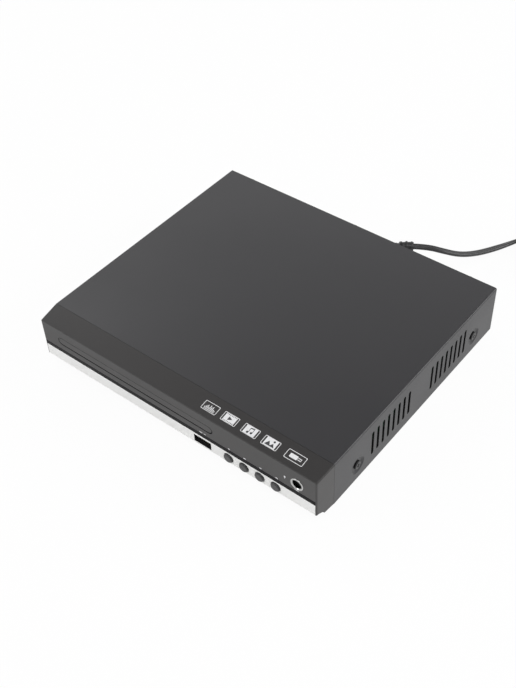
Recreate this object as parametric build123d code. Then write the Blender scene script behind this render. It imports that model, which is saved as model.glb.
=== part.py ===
"""A low disc player with a sliding tray: steel casing, plastic front, disc loader, boards and mains cord.

Millimetres. +X is to the right of someone facing the front, +Y goes to the back, +Z is up.
The origin is at the middle of the footprint, on the surface that the feet stand on.
"""
from build123d import *
from math import acos, atan2, cos, degrees, pi, radians, sin, sqrt, tan
import os

# Cutters run past the faces that they cut by this much
over = 1.0

# Casing: a folded steel cover over a steel pan
case_width = 225.0
cover_depth = 182.4
cover_height = 36.9
steel = 0.8
cover_bend = 1.2
cover_play = 0.05
seam_gap = 0.15
cover_lap = 7.5
foot_height = 4.5
foot_diameter = 15.0
foot_inset = 17.0
foot_edge = 0.9
vent_count = 8
vent_pitch = 5.67
vent_width = 2.5
vent_height = 20.2
vent_drop = 8.8
vent_starts = (39.2, 104.9)
side_screw_places = ((24.0, 24.6), (157.0, 23.7))
rear_screw_inset = 20.0
dimple_radius = 6.6
dimple_floor = 4.6
dimple_depth = 1.0

# Screws
screw_head = 3.0
screw_head_height = 1.4
screw_head_round = 0.7
screw_shank = 1.4
screw_length = 6.0
screw_clear = 0.15
cross_length = 3.3
cross_width = 0.65
cross_depth = 0.85

# Front bezel
bezel_depth = 15.5
bezel_wall = 2.0
bezel_drop = 2.5
bezel_taper = 1.2
bezel_edge = 0.7
bezel_lift = 0.3
chin_setback = 10.0
chin_step = 1.7
chin_height = 2.4
rim_reach = 6.0
rim_root = 4.0
rim_inset = 4.0
rim_thickness = 1.8
rim_play = 0.2
tab_width = 16.0
tab_spread = 74.0
strip_thickness = 2.0
strip_height = 9.2
strip_drop = 32.6
strip_edge = 0.5
window_height = 3.5
window_thickness = 1.95
window_end_gap = 0.2
strip_cheek = 0.8

# Front controls
button_diameter = 6.8
button_gap = 0.3
button_proud = 1.2
button_dome = 0.9
button_travel = 0.8
button_flange = 1.1
flange_height = 6.0
flange_thickness = 1.0
flange_play = 0.1
stem_diameter = 3.0
stem_length = 4.0
stem_entry = 0.3
stem_clear = 0.3
press_spare = 0.4
last_button_inset = 30.7
button_pitch = 11.9
button_names = ("power", "play", "stop", "eject")
switch_size = 6.0
switch_depth = 3.6
board = 1.6
board_tab = 5.2
front_board_edge = 1.0
boss_radius = 2.0
peg_radius = 1.0
peg_clear = 0.1
peg_past = 0.6
receiver_radius = 1.4
receiver_gap = 0.3
receiver_dome = 0.8
receiver_body = 5.0
usb_inset = 86.9
usb_width = 13.1
usb_height = 5.7
usb_shell = 0.35
usb_back = 1.5
usb_clear = 0.25
usb_setback = 2.2
tongue_width = 11.1
tongue_thickness = 1.9
tongue_drop = 0.9
tongue_setback = 1.2
mic_inset = 15.0
mic_drop = 13.6
mic_bore = 6.5
mic_bushing = 9.2
mic_bushing_gap = 0.15
mic_bushing_proud = 0.4
mic_bore_depth = 17.0
mic_body_width = 13.5
mic_body_height = 11.5
mic_body_end = 3.0
mic_neck = 0.55

# Tray
door_place = 81.4
door_width = 130.4
door_height = 5.3
door_drop = 9.5
door_gap = 0.4
door_rise = 0.2
door_proud = 0.1
door_thickness = 2.5
door_edge = 0.4
tray_width = 127.0
tray_thickness = 5.0
tray_travel = 128.0
tray_play = 0.4
disc_pocket = 121.0
disc_pocket_depth = 1.7
small_pocket = 81.0
small_pocket_depth = 1.0
pocket_margin = 4.0
hub_slot = 46.0
arm_width = 30.0

# Gears, belt and loading motor
pressure_angle = 20.0
addendum = 0.85
dedendum = 1.15
rack_addendum = 0.7
rack_module = 0.8
drive_teeth = 14
wheel_module = 0.6
wheel_teeth = 30
wheel_thickness = 2.2
pinion_teeth = 12
backlash = 0.25
rack_inset = 18.6
rack_depth = 2.3
rack_lead = 2
rack_spare = 12.4
drive_setback = 11.5
gear_gap = 0.5
post_radius = 1.5
post_clear = 0.06
post_drop = 0.3
pulley_radius = 8.6
motor_pulley_radius = 3.4
groove_depth = 1.3
pulley_height = 2.4
belt = 1.2
belt_clear = 0.3
belt_span = 31.0
motor_diameter = 15.0
motor_shaft = 1.0
motor_hole_clear = 0.6
motor_floor_gap = 0.5

# Loader frame and disc clamp
frame_wall = 3.0
frame_setback = 1.5
frame_spare = 4.0
deck_thickness = 2.0
deck_drop = 10.2
deck_spare = 4.0
ledge = 2.0
ledge_thickness = 1.2
lip = 2.0
frame_foot_front = 30.0
frame_foot_back = 10.0
frame_foot_reach = 5.0
frame_foot_half = 4.5
frame_foot_thickness = 2.5
rail_thickness = 2.0
rail_lip = 1.5
rail_spare = 4.0
bearing_gap = 0.6
bearing_half = 4.5
bearing_cap = 2.0
crossbeam_offset = 5.0
bridge_width = 40.0
bridge_thickness = 1.2
bridge_hole = 29.0
bridge_peg_spread = 24.0
puck_radius = 13.2
puck_flange = 2.6
puck_flange_thickness = 1.8
puck_play = 0.3
puck_above_disc = 0.3
puck_hollow = 0.8

# Traverse: turntable, pickup sled and the cam that lowers them
traverse_width = 56.0
traverse_thickness = 2.0
traverse_clear = 1.6
traverse_front = 24.0
traverse_margin = 4.0
pivot_behind = 9.0
pivot_radius = 2.0
pivot_play = 0.05
pivot_stub = 5.0
pivot_gap = 0.4
pivot_drop = 0.8
pivot_boss = 3.5
pivot_root = 6.0
lug_half = 3.0
lug_thickness = 2.5
spindle_gap = 0.5
cam_gap = 1.4
cam_travel = 14.0
cam_fall = 5.5
cam_thickness = 2.0
cam_length = 66.0
cam_play = 0.3
cam_skirt = 4.5
cam_crown = 3.0
cam_slot_spare = 1.0
cam_pin_radius = 1.2
cam_pin_drop = 0.4
cam_pin_spread = 16.0
cam_pin_block = 2.5
cam_pin_root = 4.0
spindle_motor_radius = 11.5
spindle_motor_height = 6.0
spindle_shaft = 1.0
spindle_sleeve = 1.6
spindle_rise = 0.4
spindle_depth = 3.0
turntable_radius = 14.5
turntable_thickness = 3.0
turntable_hub = 4.0
disc_lift = 1.0
disc_thickness = 1.2
cone_radius = 7.2
cone_height = 2.2
cone_taper = 1.2
rod_radius = 1.5
rod_play = 0.05
rod_spread = 17.0
rod_drop = 4.5
pickup_width = 42.0
pickup_gap = 0.8
pickup_below = 4.5
pickup_above = 4.5
pickup_front = 8.5
pickup_rear = 15.5
sled_travel = 34.0
sled_spare = 1.5
lens_start = 24.0
lens_radius = 3.2
lens_clear = 0.3
lens_depth = 3.0
lens_below_disc = 1.9
lens_round = 1.0
lens_block_width = 16.0
lens_block_depth = 12.0
lens_block_drop = 1.0
nut_length = 6.0
nut_thickness = 3.0
nut_gap = 0.3
screw_offset = 4.6
lead_radius = 1.5
lead_entry = 3.5
sled_motor_size = 8.0
sled_motor_length = 13.0

# Boards and what stands on them
standoff = 4.7
standoff_radius = 3.0
standoff_edge = 4.0
board_inset = 5.0
loader_gap = 7.1
main_board_depth = 72.0
power_board_depth = 78.0
board_gap = 6.0
board_screw_length = 3.7
av_board_width = 84.0
av_board_depth = 20.0
av_drop = 6.0
sink_share = 0.387
sink_depth = 24.0
sink_base = 3.5
sink_height = 11.0
fin_count = 6
fin_thickness = 1.0
core_place = (0.355, 40.0)
core_size = (0.355, 18.0, 17.0)
core_wall_share = 0.227
winding_radius = 7.5
capacitor_edge = 0.6
big_capacitor = (0.78, 56.0, 6.5, 20.0)
small_capacitors = ((0.74, 12.0, 4.0, 12.0), (0.74, 24.0, 4.0, 12.0), (0.74, 36.0, 4.0, 12.0))
board_capacitors = ((0.2, 14.0, 3.2, 9.0), (0.6, 14.0, 3.2, 9.0))
ribbon_width = 14.0
ribbon_thickness = 0.4
ribbon_start = 1.0
ribbon_gap = 2.0
ribbon_rise = 3.0
ribbon_plug_place = 0.0645
ribbon_plug = (0.08, 16.0, 4.0)
wire_radius = 1.0
wire_split = 1.6
wire_bend = 4.0
terminal_place = 0.0968
terminal_setback = 15.5
terminal_size = (8.0, 12.0)
terminal_rise = 4.0

# Rear sockets
jack_reach = 8.6
jack_inset = 34.5
jack_pitch = 14.0
jack_count = 3
jack_drop = 23.0
jack_radius = 4.15
jack_wall = 0.9
jack_step = 0.2
jack_clear = 0.7
jack_pin_bore = 1.6
jack_block_depth = 11.0
jack_block_rise = 7.0
jack_seat = 8.0
jack_floor = 3.0
insulator_setback = 1.2
hdmi_inset = 82.5
hdmi_width = 15.0
hdmi_height = 5.6
hdmi_depth = 11.0
hdmi_shell = 0.4
hdmi_clear = 0.3
hdmi_back = 2.0
hdmi_tongue = 1.4
hdmi_tongue_margin = 2.0
hdmi_tongue_setback = 1.0

# Mains cord
relief_inset = 83.9
relief_drop = 14.0
relief_straight = 7.0
relief_bend = 11.5
relief_turn = 58.0
relief_end = 4.0
relief_core = 3.1
relief_rib = 4.3
relief_rib_end = 3.5
rib_count = 6
rib_thickness = 1.5
rib_round = 0.4
rib_first = 0.16
rib_last = 0.94
collar_radius = 5.6
collar_thickness = 1.5
collar_inside = 3.0
neck_radius = 4.3
neck_clear = 0.1
cord_width = 4.8
cord_straight = 10.0
cord_lead = 15.0
cord_bend_share = 0.45
coil_inner = 20.5
coil_pitch = 5.5
coil_half_turns = 6
coil_lift = 0.7
coil_layer = 5.4
coil_heading = 25.0
coil_entry = (63.4, 118.0)
tail_radius = 30.0
tail_turn = 60.0
tie_width = 9.0
tie_thickness = 0.5
tie_play = 0.2
plug_length = 38.0
plug_width = 34.0
plug_neck = 10.0
plug_waist = 12.0
plug_round = 4.0
pin_radius = 2.0
pin_length = 19.0
pin_spread = 18.6
pin_round = 1.2

# Places that follow from the sizes: casing
total_depth = button_proud + bezel_depth + cover_depth + jack_reach
front_y = -total_depth / 2 + button_proud
seam_y = front_y + bezel_depth
back_y = seam_y + cover_depth
left_x = -case_width / 2
right_x = case_width / 2
base_z = foot_height
top_z = base_z + cover_height
pan_x = right_x - steel - dimple_depth
floor_z = base_z + steel
rear_wall_y = back_y - steel - cover_play
ceiling_z = top_z - steel
rear_screw_z = top_z - cover_lap / 2
rear_screw_places = (left_x + rear_screw_inset, 0.0, right_x - rear_screw_inset)
screw_hole = screw_shank + screw_clear

# Front
strip_bottom = top_z - strip_drop
strip_top = strip_bottom + strip_height
strip_mid = (strip_bottom + strip_top) / 2
window_top = strip_top + window_height
window_mid = (strip_top + window_top) / 2
seat_y = front_y + strip_thickness
lower_wall_y = seat_y + bezel_wall
lip_z = top_z - bezel_drop
chin_z = base_z + bezel_lift
first_button_x = right_x - last_button_inset - (len(button_names) - 1) * button_pitch
button_places = [first_button_x + index * button_pitch for index in range(len(button_names))]
button_hole = button_diameter / 2 + button_gap
flange_y = lower_wall_y + flange_play
stem_end_y = flange_y + flange_thickness + stem_length
switch_y = stem_end_y - stem_entry
front_board_y = switch_y + switch_depth
usb_x = right_x - usb_inset
usb_y = front_y + usb_setback
usb_back_y = front_board_y - usb_back
mic_x = right_x - mic_inset
mic_z = top_z - mic_drop
receiver_x = (usb_x + usb_width / 2 + button_places[0] - button_diameter / 2) / 2
front_board_left = usb_x - usb_width / 2 - board_tab
front_board_right = button_places[-1] + switch_size / 2 + board_tab
boss_places = (front_board_left + board_tab / 2, front_board_right - board_tab / 2)

# Tray and its drive
door_x = left_x + door_place
door_top = top_z - door_drop
door_mid = door_top - door_height / 2
tray_bottom = door_mid - tray_thickness / 2
tray_top = door_mid + tray_thickness / 2
tray_front = front_y - door_proud + door_thickness
tray_left = door_x - tray_width / 2
tray_right = door_x + tray_width / 2
disc_y = tray_front + pocket_margin + disc_pocket / 2
tray_back = disc_y + disc_pocket / 2 + pocket_margin
disc_floor = tray_top - disc_pocket_depth
disc_seat = disc_floor + disc_lift
drive_radius = rack_module * drive_teeth / 2
rack_x = tray_left + rack_inset
drive_x = rack_x - drive_radius
drive_y = seam_y + drive_setback
arm_back = drive_y + tray_travel + rack_spare
wheel_radius = wheel_module * wheel_teeth / 2
pinion_radius = wheel_module * pinion_teeth / 2
pulley_x = drive_x + wheel_radius + pinion_radius
motor_x = pulley_x + belt_span
deck_bottom = tray_bottom - deck_drop
deck_top = deck_bottom + deck_thickness
pulley_z = deck_top + gear_gap
pulley_top = pulley_z + pulley_height
wheel_z = pulley_top + gear_gap
wheel_top = wheel_z + wheel_thickness
drive_top = tray_bottom + rack_depth - tray_play

# Loader frame and traverse
frame_front = seam_y + frame_setback
frame_back = arm_back + frame_spare
frame_left = tray_left - tray_play
frame_right = tray_right + tray_play
frame_top = tray_top + tray_play + lip
bridge_top = frame_top + bridge_thickness
bridge_pegs = [
    (x, disc_y + side * bridge_peg_spread / 2)
    for x in (frame_left - frame_wall / 2, frame_right + frame_wall / 2)
    for side in (-1, 1)
]
traverse_top = tray_bottom - traverse_clear
traverse_bottom = traverse_top - traverse_thickness
traverse_y = disc_y - traverse_front
lens_y = disc_y + lens_start
lug_front = disc_y + spindle_motor_radius + spindle_gap
lug_back = lens_y + pickup_rear + sled_travel + sled_spare
pivot_y = lug_back + pivot_behind
pivot_z = traverse_bottom - pivot_radius - pivot_drop
bearing_top = pivot_z + pivot_radius + bearing_cap
cam_y = traverse_y - cam_gap - cam_thickness
pin_z = traverse_bottom - cam_pin_radius - cam_pin_drop
cam_bottom = pin_z - cam_fall - cam_skirt
beam_y = cam_y - cam_play
rod_z = traverse_bottom - rod_drop
pickup_top = rod_z + pickup_above
lens_top = disc_seat - lens_below_disc
lead_x = door_x - pickup_width / 2 - screw_offset
sled_motor_y = lug_back - sled_motor_length
cone_top = disc_seat + cone_height
puck_bottom = disc_seat + disc_thickness + puck_above_disc
frame_feet = [
    (x, y)
    for x in (frame_left - frame_wall - frame_foot_reach, frame_right + frame_wall + frame_foot_reach)
    for y in (frame_front + frame_foot_front, frame_back - frame_foot_back)
]

# Boards, sockets and cord
board_z = floor_z + standoff
board_top = board_z + board
board_right = pan_x - steel - board_inset
board_left = frame_right + frame_wall + loader_gap
board_width = board_right - board_left
power_back = rear_wall_y - steel - board_inset
power_front = power_back - power_board_depth
main_back = power_front - board_gap
main_front = main_back - main_board_depth
main_mid = (main_front + main_back) / 2
main_spots = [
    (x, y)
    for x in (board_left + standoff_edge, board_right - standoff_edge)
    for y in (main_front + standoff_edge, main_back - standoff_edge)
]
power_spots = [
    (x, y)
    for x in (board_left + standoff_edge, board_right - standoff_edge)
    for y in (power_front + standoff_edge, power_back - standoff_edge)
]
jack_first = left_x + jack_inset
jack_places = [jack_first + index * jack_pitch for index in range(jack_count)]
jack_neck = jack_radius - jack_step
jack_z = top_z - jack_drop
jack_end = back_y + jack_reach
av_left = jack_first - jack_pitch
av_right = av_left + av_board_width
av_back = rear_wall_y - steel - cover_play
av_front = av_back - av_board_depth
av_bottom = jack_z - av_drop - board / 2
av_top = av_bottom + board
av_spots = [(x, av_front + standoff_edge) for x in (av_left + standoff_edge, av_right - standoff_edge)]
hdmi_place = left_x + hdmi_inset
hdmi_z = av_top + hdmi_height / 2
hdmi_y = rear_wall_y + steel
relief_place = right_x - relief_inset
relief_z = top_z - relief_drop
relief_inner = rear_wall_y - steel - collar_inside


def block(x0, x1, y0, y1, z0, z1):
    """A box between two corners."""
    return Pos((x0 + x1) / 2, (y0 + y1) / 2, (z0 + z1) / 2) * Box(x1 - x0, y1 - y0, z1 - z0)


def column(x, y, z0, z1, radius):
    """A round bar along Z."""
    return Pos(x, y, (z0 + z1) / 2) * Cylinder(radius, z1 - z0)


def bar_y(x, z, y0, y1, radius):
    """A round bar along Y."""
    return Pos(x, (y0 + y1) / 2, z) * Rot(90, 0, 0) * Cylinder(radius, y1 - y0)


def bar_x(y, z, x0, x1, radius):
    """A round bar along X."""
    return Pos((x0 + x1) / 2, y, z) * Rot(0, 90, 0) * Cylinder(radius, x1 - x0)


def prism_x(points, x0, x1):
    """An outline given as (y, z) points, extruded along X."""
    face = make_face(Polyline(*points, close=True))
    return extrude(Plane.YZ.offset(x0) * face, amount=x1 - x0)


def prism_z(points, z0, z1):
    """An outline given as (x, y) points, extruded along Z."""
    face = make_face(Polyline(*points, close=True))
    return extrude(Pos(0, 0, z0) * face, amount=z1 - z0)


def front_plate(sketch, x, z, y0, y1):
    """A sketch drawn as seen from the front, centred at x and z, extruded from y0 back to y1."""
    return extrude(Plane.XZ.offset(-y0) * Pos(x, z) * sketch, amount=y0 - y1)


def shrunk(points, distance):
    """A closed outline, run anticlockwise, with its walls moved inwards by a distance."""
    moved = []
    for index, (y, z) in enumerate(points):
        before = points[index - 1]
        after = points[(index + 1) % len(points)]
        heading = atan2(z - before[1], y - before[0])
        turn = (atan2(after[1] - z, after[0] - y) - heading + pi) % (2 * pi) - pi
        reach = distance / cos(turn / 2)
        inward = heading + turn / 2 + pi / 2
        moved.append((y + reach * cos(inward), z + reach * sin(inward)))
    return moved


def save(node, shape):
    """Writes one piece to its own file."""
    export_step(shape if isinstance(shape, Compound) else Compound(children=[shape]), f"parts/{node}.step")


def group(node, shapes):
    """Writes several separate solids as one node."""
    export_step(Compound(children=list(shapes)), f"parts/{node}.step")


# Casing

def bezel_outline(back):
    """The bezel's section as (y, z) points, carried straight on from the seam to a depth."""
    return [
        (back, top_z),
        (seam_y, top_z),
        (front_y, lip_z),
        (front_y, window_top),
        (seat_y, window_top),
        (seat_y, strip_bottom),
        (seam_y - chin_setback, chin_z + chin_height),
        (seam_y - chin_setback + chin_step, chin_z),
        (back, chin_z),
    ]


def front_span(y):
    """Half the bezel's width at a depth y."""
    return right_x - bezel_taper * (seam_y - y) / bezel_depth


def strip_span():
    """Half the trim strip's length, between the bezel's two cheeks."""
    return front_span(front_y) - strip_cheek


def strip_cheeks():
    """Thin walls that close the two ends of the strip's seat."""
    right = block(strip_span(), right_x, front_y, seat_y + bezel_wall / 2, strip_bottom, window_top)
    return [right, mirror(right, Plane.YZ)]


def taper_cuts():
    """Wedges that narrow the bezel's two ends towards the front."""
    front = front_y - over
    outer = right_x + over
    wedge = [(front_span(front), front), (outer, front), (outer, seam_y), (right_x, seam_y)]
    right = prism_z(wedge, 0, top_z + over)
    return [right, mirror(right, Plane.YZ)]


def strip_openings(y0, y1):
    """Cutters for the buttons and the USB socket, between two depths."""
    usb_hole = Rectangle(usb_width + 2 * usb_clear, usb_height + 2 * usb_clear)
    cutters = [bar_y(x, strip_mid, y0, y1, button_hole) for x in button_places]
    return cutters + [front_plate(usb_hole, usb_x, strip_mid, y0, y1)]


def split_at_door(skin):
    """The bezel in four plain lengths: its two ends, and what lies above and below the door's opening."""
    half = (door_width - door_height) / 2
    rear = seam_y + rim_reach + over
    spans = [(left_x - over, door_x - half), (door_x - half, door_x + half), (door_x + half, right_x + over)]
    lengths = [skin & block(x0, x1, front_y - over, rear, 0, top_z + over) for x0, x1 in spans]
    return [solid for length in lengths for solid in length.solids()]


def front_bezel():
    skin = prism_x(bezel_outline(seam_y + bezel_wall), left_x, right_x)
    skin -= block(left_x, right_x, seam_y, seam_y + bezel_wall + over, 0, top_z + over)
    skin += strip_cheeks()
    skin -= taper_cuts()
    front_edges = skin.edges().filter_by(Axis.X).group_by(Axis.Y)[0].sort_by(Axis.Z)
    skin = fillet(front_edges[-1], bezel_edge)
    inner_x = front_span(front_y) - bezel_wall
    ends = [e for e in skin.edges() if abs(e.center().X) > inner_x and lip_z < e.center().Z < top_z]
    skin = fillet(ends, cover_bend)
    hollow = shrunk(bezel_outline(seam_y + bezel_wall + over), bezel_wall)
    skin -= prism_x(hollow, -inner_x, inner_x)
    rim_x = inner_x - rim_inset
    rim_top = ceiling_z - rim_play
    rim_end = seam_y + rim_reach
    root = seam_y - rim_root
    tab_z = floor_z + rim_play / 2
    added = [block(-rim_x, rim_x, root, rim_end, rim_top - rim_thickness, rim_top)]
    for x in (-tab_spread, 0, tab_spread):
        added.append(block(x - tab_width / 2, x + tab_width / 2, root, rim_end, tab_z, tab_z + bezel_wall))
    for x in boss_places:
        added.append(bar_y(x, window_mid, lower_wall_y - bezel_wall / 2, front_board_y, boss_radius))
        added.append(bar_y(x, window_mid, lower_wall_y, front_board_y + board + peg_past, peg_radius))
    skin += added
    slot = SlotOverall(door_width + 2 * door_gap, door_height + 2 * door_gap)
    upper_wall_y = front_y + bezel_wall
    cutters = strip_openings(seat_y - over, lower_wall_y + over)
    cutters.append(front_plate(slot, door_x, door_mid - door_rise, front_y - over, upper_wall_y + over))
    mouth = mic_bushing / 2 + mic_bushing_gap
    cutters.append(bar_y(mic_x, mic_z, front_y - over, upper_wall_y + over, mouth))
    eye = receiver_radius + receiver_gap
    cutters.append(bar_y(receiver_x, window_mid, seat_y - over, lower_wall_y + over, eye))
    return split_at_door(skin - cutters)


def smoked_window():
    half = strip_span() - window_end_gap
    return block(-half, half, seat_y - window_thickness, seat_y, strip_top, window_top)


def front_trim_strip():
    half = strip_span()
    strip = block(-half, half, front_y, seat_y, strip_bottom, strip_top)
    strip = fillet(strip.faces().sort_by(Axis.Y)[0].edges(), strip_edge)
    return strip - strip_openings(front_y - over, seat_y + over)


def side_screw_spots():
    """Depth and height of the screws along one side of the cover."""
    return [(seam_y + along, top_z - drop) for along, drop in side_screw_places]


def vent_slots():
    """The slot cutters of the right side."""
    slot_z = top_z - vent_drop - vent_height / 2
    slot = Rot(0, 0, 90) * SlotOverall(vent_height, vent_width)
    cutters = []
    for start in vent_starts:
        for index in range(vent_count):
            place = Plane.YZ.offset(pan_x) * Pos(seam_y + start + index * vent_pitch, slot_z)
            cutters.append(extrude(place * slot, amount=right_x - pan_x + over))
    return cutters


def dimple(x0, x1):
    """A shallow cone along X, narrow at x0 and wide at x1."""
    return Pos((x0 + x1) / 2, 0, 0) * Rot(0, 90, 0) * Cone(dimple_floor, dimple_radius, x1 - x0)


def top_cover():
    shell = block(left_x, right_x, seam_y + seam_gap, back_y, base_z, top_z)
    shell = fillet(shell.edges().filter_by(Axis.Y).group_by(Axis.Z)[-1], cover_bend)
    x0 = left_x + steel
    x1 = right_x - steel
    low = base_z - over
    inner = block(x0, x1, seam_y - over, back_y - steel, low, ceiling_z)
    shell -= fillet(inner.edges().filter_by(Axis.Y).group_by(Axis.Z)[-1], cover_bend - steel)
    shell -= block(x0, x1, back_y - 2 * steel, back_y + over, low, top_z - cover_lap)
    for y, z in side_screw_spots():
        for turn in (0, 180):
            place = Pos(0, y, z) * Rot(0, 0, turn)
            shell = shell + place * dimple(pan_x, x1) - place * dimple(pan_x + steel, right_x)
            shell -= place * bar_x(0, 0, pan_x - over, right_x, screw_hole)
    slots = vent_slots()
    shell -= slots + [mirror(slot, Plane.YZ) for slot in slots]
    lap_y = back_y - 2 * steel
    return shell - [bar_y(x, rear_screw_z, lap_y, back_y + over, screw_hole) for x in rear_screw_places]


def rear_openings():
    """Cutters for everything that passes through the rear wall."""
    y0 = rear_wall_y - 2 * steel
    y1 = rear_wall_y + over
    hdmi = Rectangle(hdmi_width + 2 * hdmi_clear, hdmi_height + 2 * hdmi_clear)
    cutters = [bar_y(relief_place, relief_z, y0, y1, neck_radius + neck_clear)]
    cutters += [bar_y(x, jack_z, y0, y1, jack_radius + jack_clear) for x in jack_places]
    cutters += [bar_y(x, rear_screw_z, y0, y1, screw_hole) for x in rear_screw_places]
    return cutters + [front_plate(hdmi, hdmi_place, hdmi_z, y0, y1)]


def bottom_chassis():
    pan_front = seam_y + rim_play
    pan = block(-pan_x, pan_x, pan_front, rear_wall_y, base_z, floor_z)
    added = [block(-pan_x, pan_x, rear_wall_y - steel, rear_wall_y, base_z, ceiling_z - rim_play)]
    cutters = rear_openings()
    for side in (-1, 1):
        x0, x1 = sorted((side * pan_x, side * (pan_x - steel)))
        added.append(block(x0, x1, pan_front, rear_wall_y, base_z, board_z))
        for y, z in side_screw_spots():
            added.append(block(x0, x1, y - dimple_radius, y + dimple_radius, base_z, z + dimple_radius))
            cutters.append(bar_x(y, z, x0 - over, x1 + over, screw_hole))
    tops = [(x, y, board_z) for x, y in main_spots + power_spots] + [(x, y, av_bottom) for x, y in av_spots]
    for x, y, z in tops:
        added.append(column(x, y, base_z, z, standoff_radius))
        cutters.append(column(x, y, base_z - over, z + over, screw_hole))
    cutters += [column(x, y, base_z - over, floor_z + over, screw_hole) for x, y in frame_feet]
    return pan + added - cutters


def rubber_feet():
    feet = []
    for x in (left_x + foot_inset, right_x - foot_inset):
        for y in (seam_y + foot_inset, back_y - foot_inset):
            foot = column(x, y, 0, base_z, foot_diameter / 2)
            feet.append(fillet(foot.faces().sort_by(Axis.Z)[0].edges(), foot_edge))
    return feet


def screw(length):
    """A pan-head screw: head above z = 0, shank below, with a cross recess in the head."""
    head = Cylinder(screw_head, screw_head_height, align=(Align.CENTER, Align.CENTER, Align.MIN))
    head = fillet(head.faces().sort_by(Axis.Z)[-1].edges(), screw_head_round)
    top = Pos(0, 0, screw_head_height)
    head -= [top * Rot(0, 0, turn) * Box(cross_length, cross_width, 2 * cross_depth) for turn in (0, 90)]
    return head + Pos(0, 0, -length / 2) * Cylinder(screw_shank, length)


def side_screws():
    screws = []
    for y, z in side_screw_spots():
        for side in (-1, 1):
            screws.append(Pos(side * (pan_x + steel), y, z) * Rot(0, side * 90, 0) * screw(screw_length))
    return screws


def rear_screws():
    upright = screw(screw_length)
    return [Pos(x, back_y, rear_screw_z) * Rot(-90, 0, 0) * upright for x in rear_screw_places]


# Front controls

def front_button(x):
    radius = button_diameter / 2
    cap = bar_y(x, strip_mid, front_y - button_proud, flange_y, radius)
    cap = fillet(cap.faces().sort_by(Axis.Y)[0].edges(), button_dome)
    flange = Rectangle(2 * (radius + button_flange), flange_height)
    cap += front_plate(flange, x, strip_mid, flange_y, flange_y + flange_thickness)
    return cap + bar_y(x, strip_mid, flange_y + flange_thickness, stem_end_y, stem_diameter / 2)


def tact_switches():
    pocket_end = stem_end_y + button_travel + press_spare
    pocket = stem_diameter / 2 + stem_clear
    switches = []
    for x in button_places:
        body = front_plate(Rectangle(switch_size, switch_size), x, strip_mid, switch_y, front_board_y)
        switches.append(body - bar_y(x, strip_mid, switch_y - over, pocket_end, pocket))
    return switches


def front_board():
    back = front_board_y + board
    top = window_top + front_board_edge
    plate = block(front_board_left, front_board_right, front_board_y, back, strip_bottom, top)
    hole = peg_radius + peg_clear
    return plate - [bar_y(x, window_mid, front_board_y - over, back + over, hole) for x in boss_places]


def remote_receiver():
    dome = bar_y(receiver_x, window_mid, seat_y + receiver_gap, front_board_y, receiver_radius)
    dome = fillet(dome.faces().sort_by(Axis.Y)[0].edges(), receiver_dome)
    body = Rectangle(receiver_body, receiver_body)
    return dome + front_plate(body, receiver_x, window_mid, switch_y, front_board_y)


def usb_socket():
    shell = front_plate(Rectangle(usb_width, usb_height), usb_x, strip_mid, usb_y, front_board_y)
    inside = Rectangle(usb_width - 2 * usb_shell, usb_height - 2 * usb_shell)
    return shell - front_plate(inside, usb_x, strip_mid, usb_y - over, usb_back_y)


def usb_tongue():
    middle = strip_mid + usb_height / 2 - usb_shell - tongue_drop - tongue_thickness / 2
    section = Rectangle(tongue_width, tongue_thickness)
    return front_plate(section, usb_x, middle, usb_y + tongue_setback, usb_back_y)


def mic_jack_bushing():
    front = front_y - mic_bushing_proud
    back = front_y + bezel_wall
    ring = bar_y(mic_x, mic_z, front, back, mic_bushing / 2)
    ring = fillet(ring.faces().sort_by(Axis.Y)[0].edges(), mic_bushing_proud)
    ring -= bar_y(mic_x, mic_z, front - over, back + over, mic_bore / 2)
    mouth = ring.edges().filter_by(GeomType.CIRCLE).group_by(Axis.Y)[0].sort_by(SortBy.RADIUS)[0]
    return chamfer(mouth, mic_bushing_proud)


def mic_jack_body():
    front = front_y + bezel_wall
    end = front + mic_bore_depth + mic_body_end
    body = front_plate(Rectangle(mic_body_width, mic_body_height), mic_x, mic_z, lower_wall_y, end)
    body += bar_y(mic_x, mic_z, front, lower_wall_y, mic_bore / 2 + mic_neck)
    return body - bar_y(mic_x, mic_z, front - over, front + mic_bore_depth, mic_bore / 2)


# Loader: tray and its drive

def involute(base, radius):
    """Angle by which an involute has turned when it reaches a radius."""
    roll = acos(min(1.0, base / radius))
    return tan(roll) - roll


def spur_points(module, teeth):
    """The outline of a spur gear with a tooth centred on +X, thinned by half of the backlash."""
    pitch_r = module * teeth / 2
    base = pitch_r * cos(radians(pressure_angle))
    root = pitch_r - dedendum * module
    tip = pitch_r + addendum * module
    half = pi / (2 * teeth) - backlash / (4 * pitch_r) + involute(base, pitch_r)
    start = max(base, root)
    radii = [start + (tip - start) * step / 4 for step in range(5)]
    points = []
    for tooth in range(teeth):
        middle = 2 * pi * tooth / teeth
        right = [(r, middle - half + involute(base, r)) for r in radii]
        left = [(r, middle + half - involute(base, r)) for r in reversed(radii)]
        outline = [(root, middle - half)] + right + left + [(root, middle + half)]
        points += [(r * cos(a), r * sin(a)) for r, a in outline]
    return points


def drive_gear():
    """Wheel below, pinion above; the wheel shows a gap to the pulley gear's tooth."""
    wheel = Rot(0, 0, 180 / wheel_teeth) * prism_z(spur_points(wheel_module, wheel_teeth), wheel_z, wheel_top)
    pinion = prism_z(spur_points(rack_module, drive_teeth), wheel_top, drive_top)
    gear = Pos(drive_x, drive_y, 0) * (wheel + pinion)
    return gear - column(drive_x, drive_y, wheel_z - over, drive_top + over, post_radius + post_clear)


def grooved_disc(x, radius):
    """A belt pulley with a square groove round its rim."""
    disc = column(x, drive_y, pulley_z, pulley_top, radius)
    mid = (pulley_z + pulley_top) / 2
    half = belt / 2 + belt_clear
    ring = column(x, drive_y, mid - half, mid + half, radius + over)
    return disc - (ring - column(x, drive_y, mid - half, mid + half, radius - groove_depth))


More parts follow.
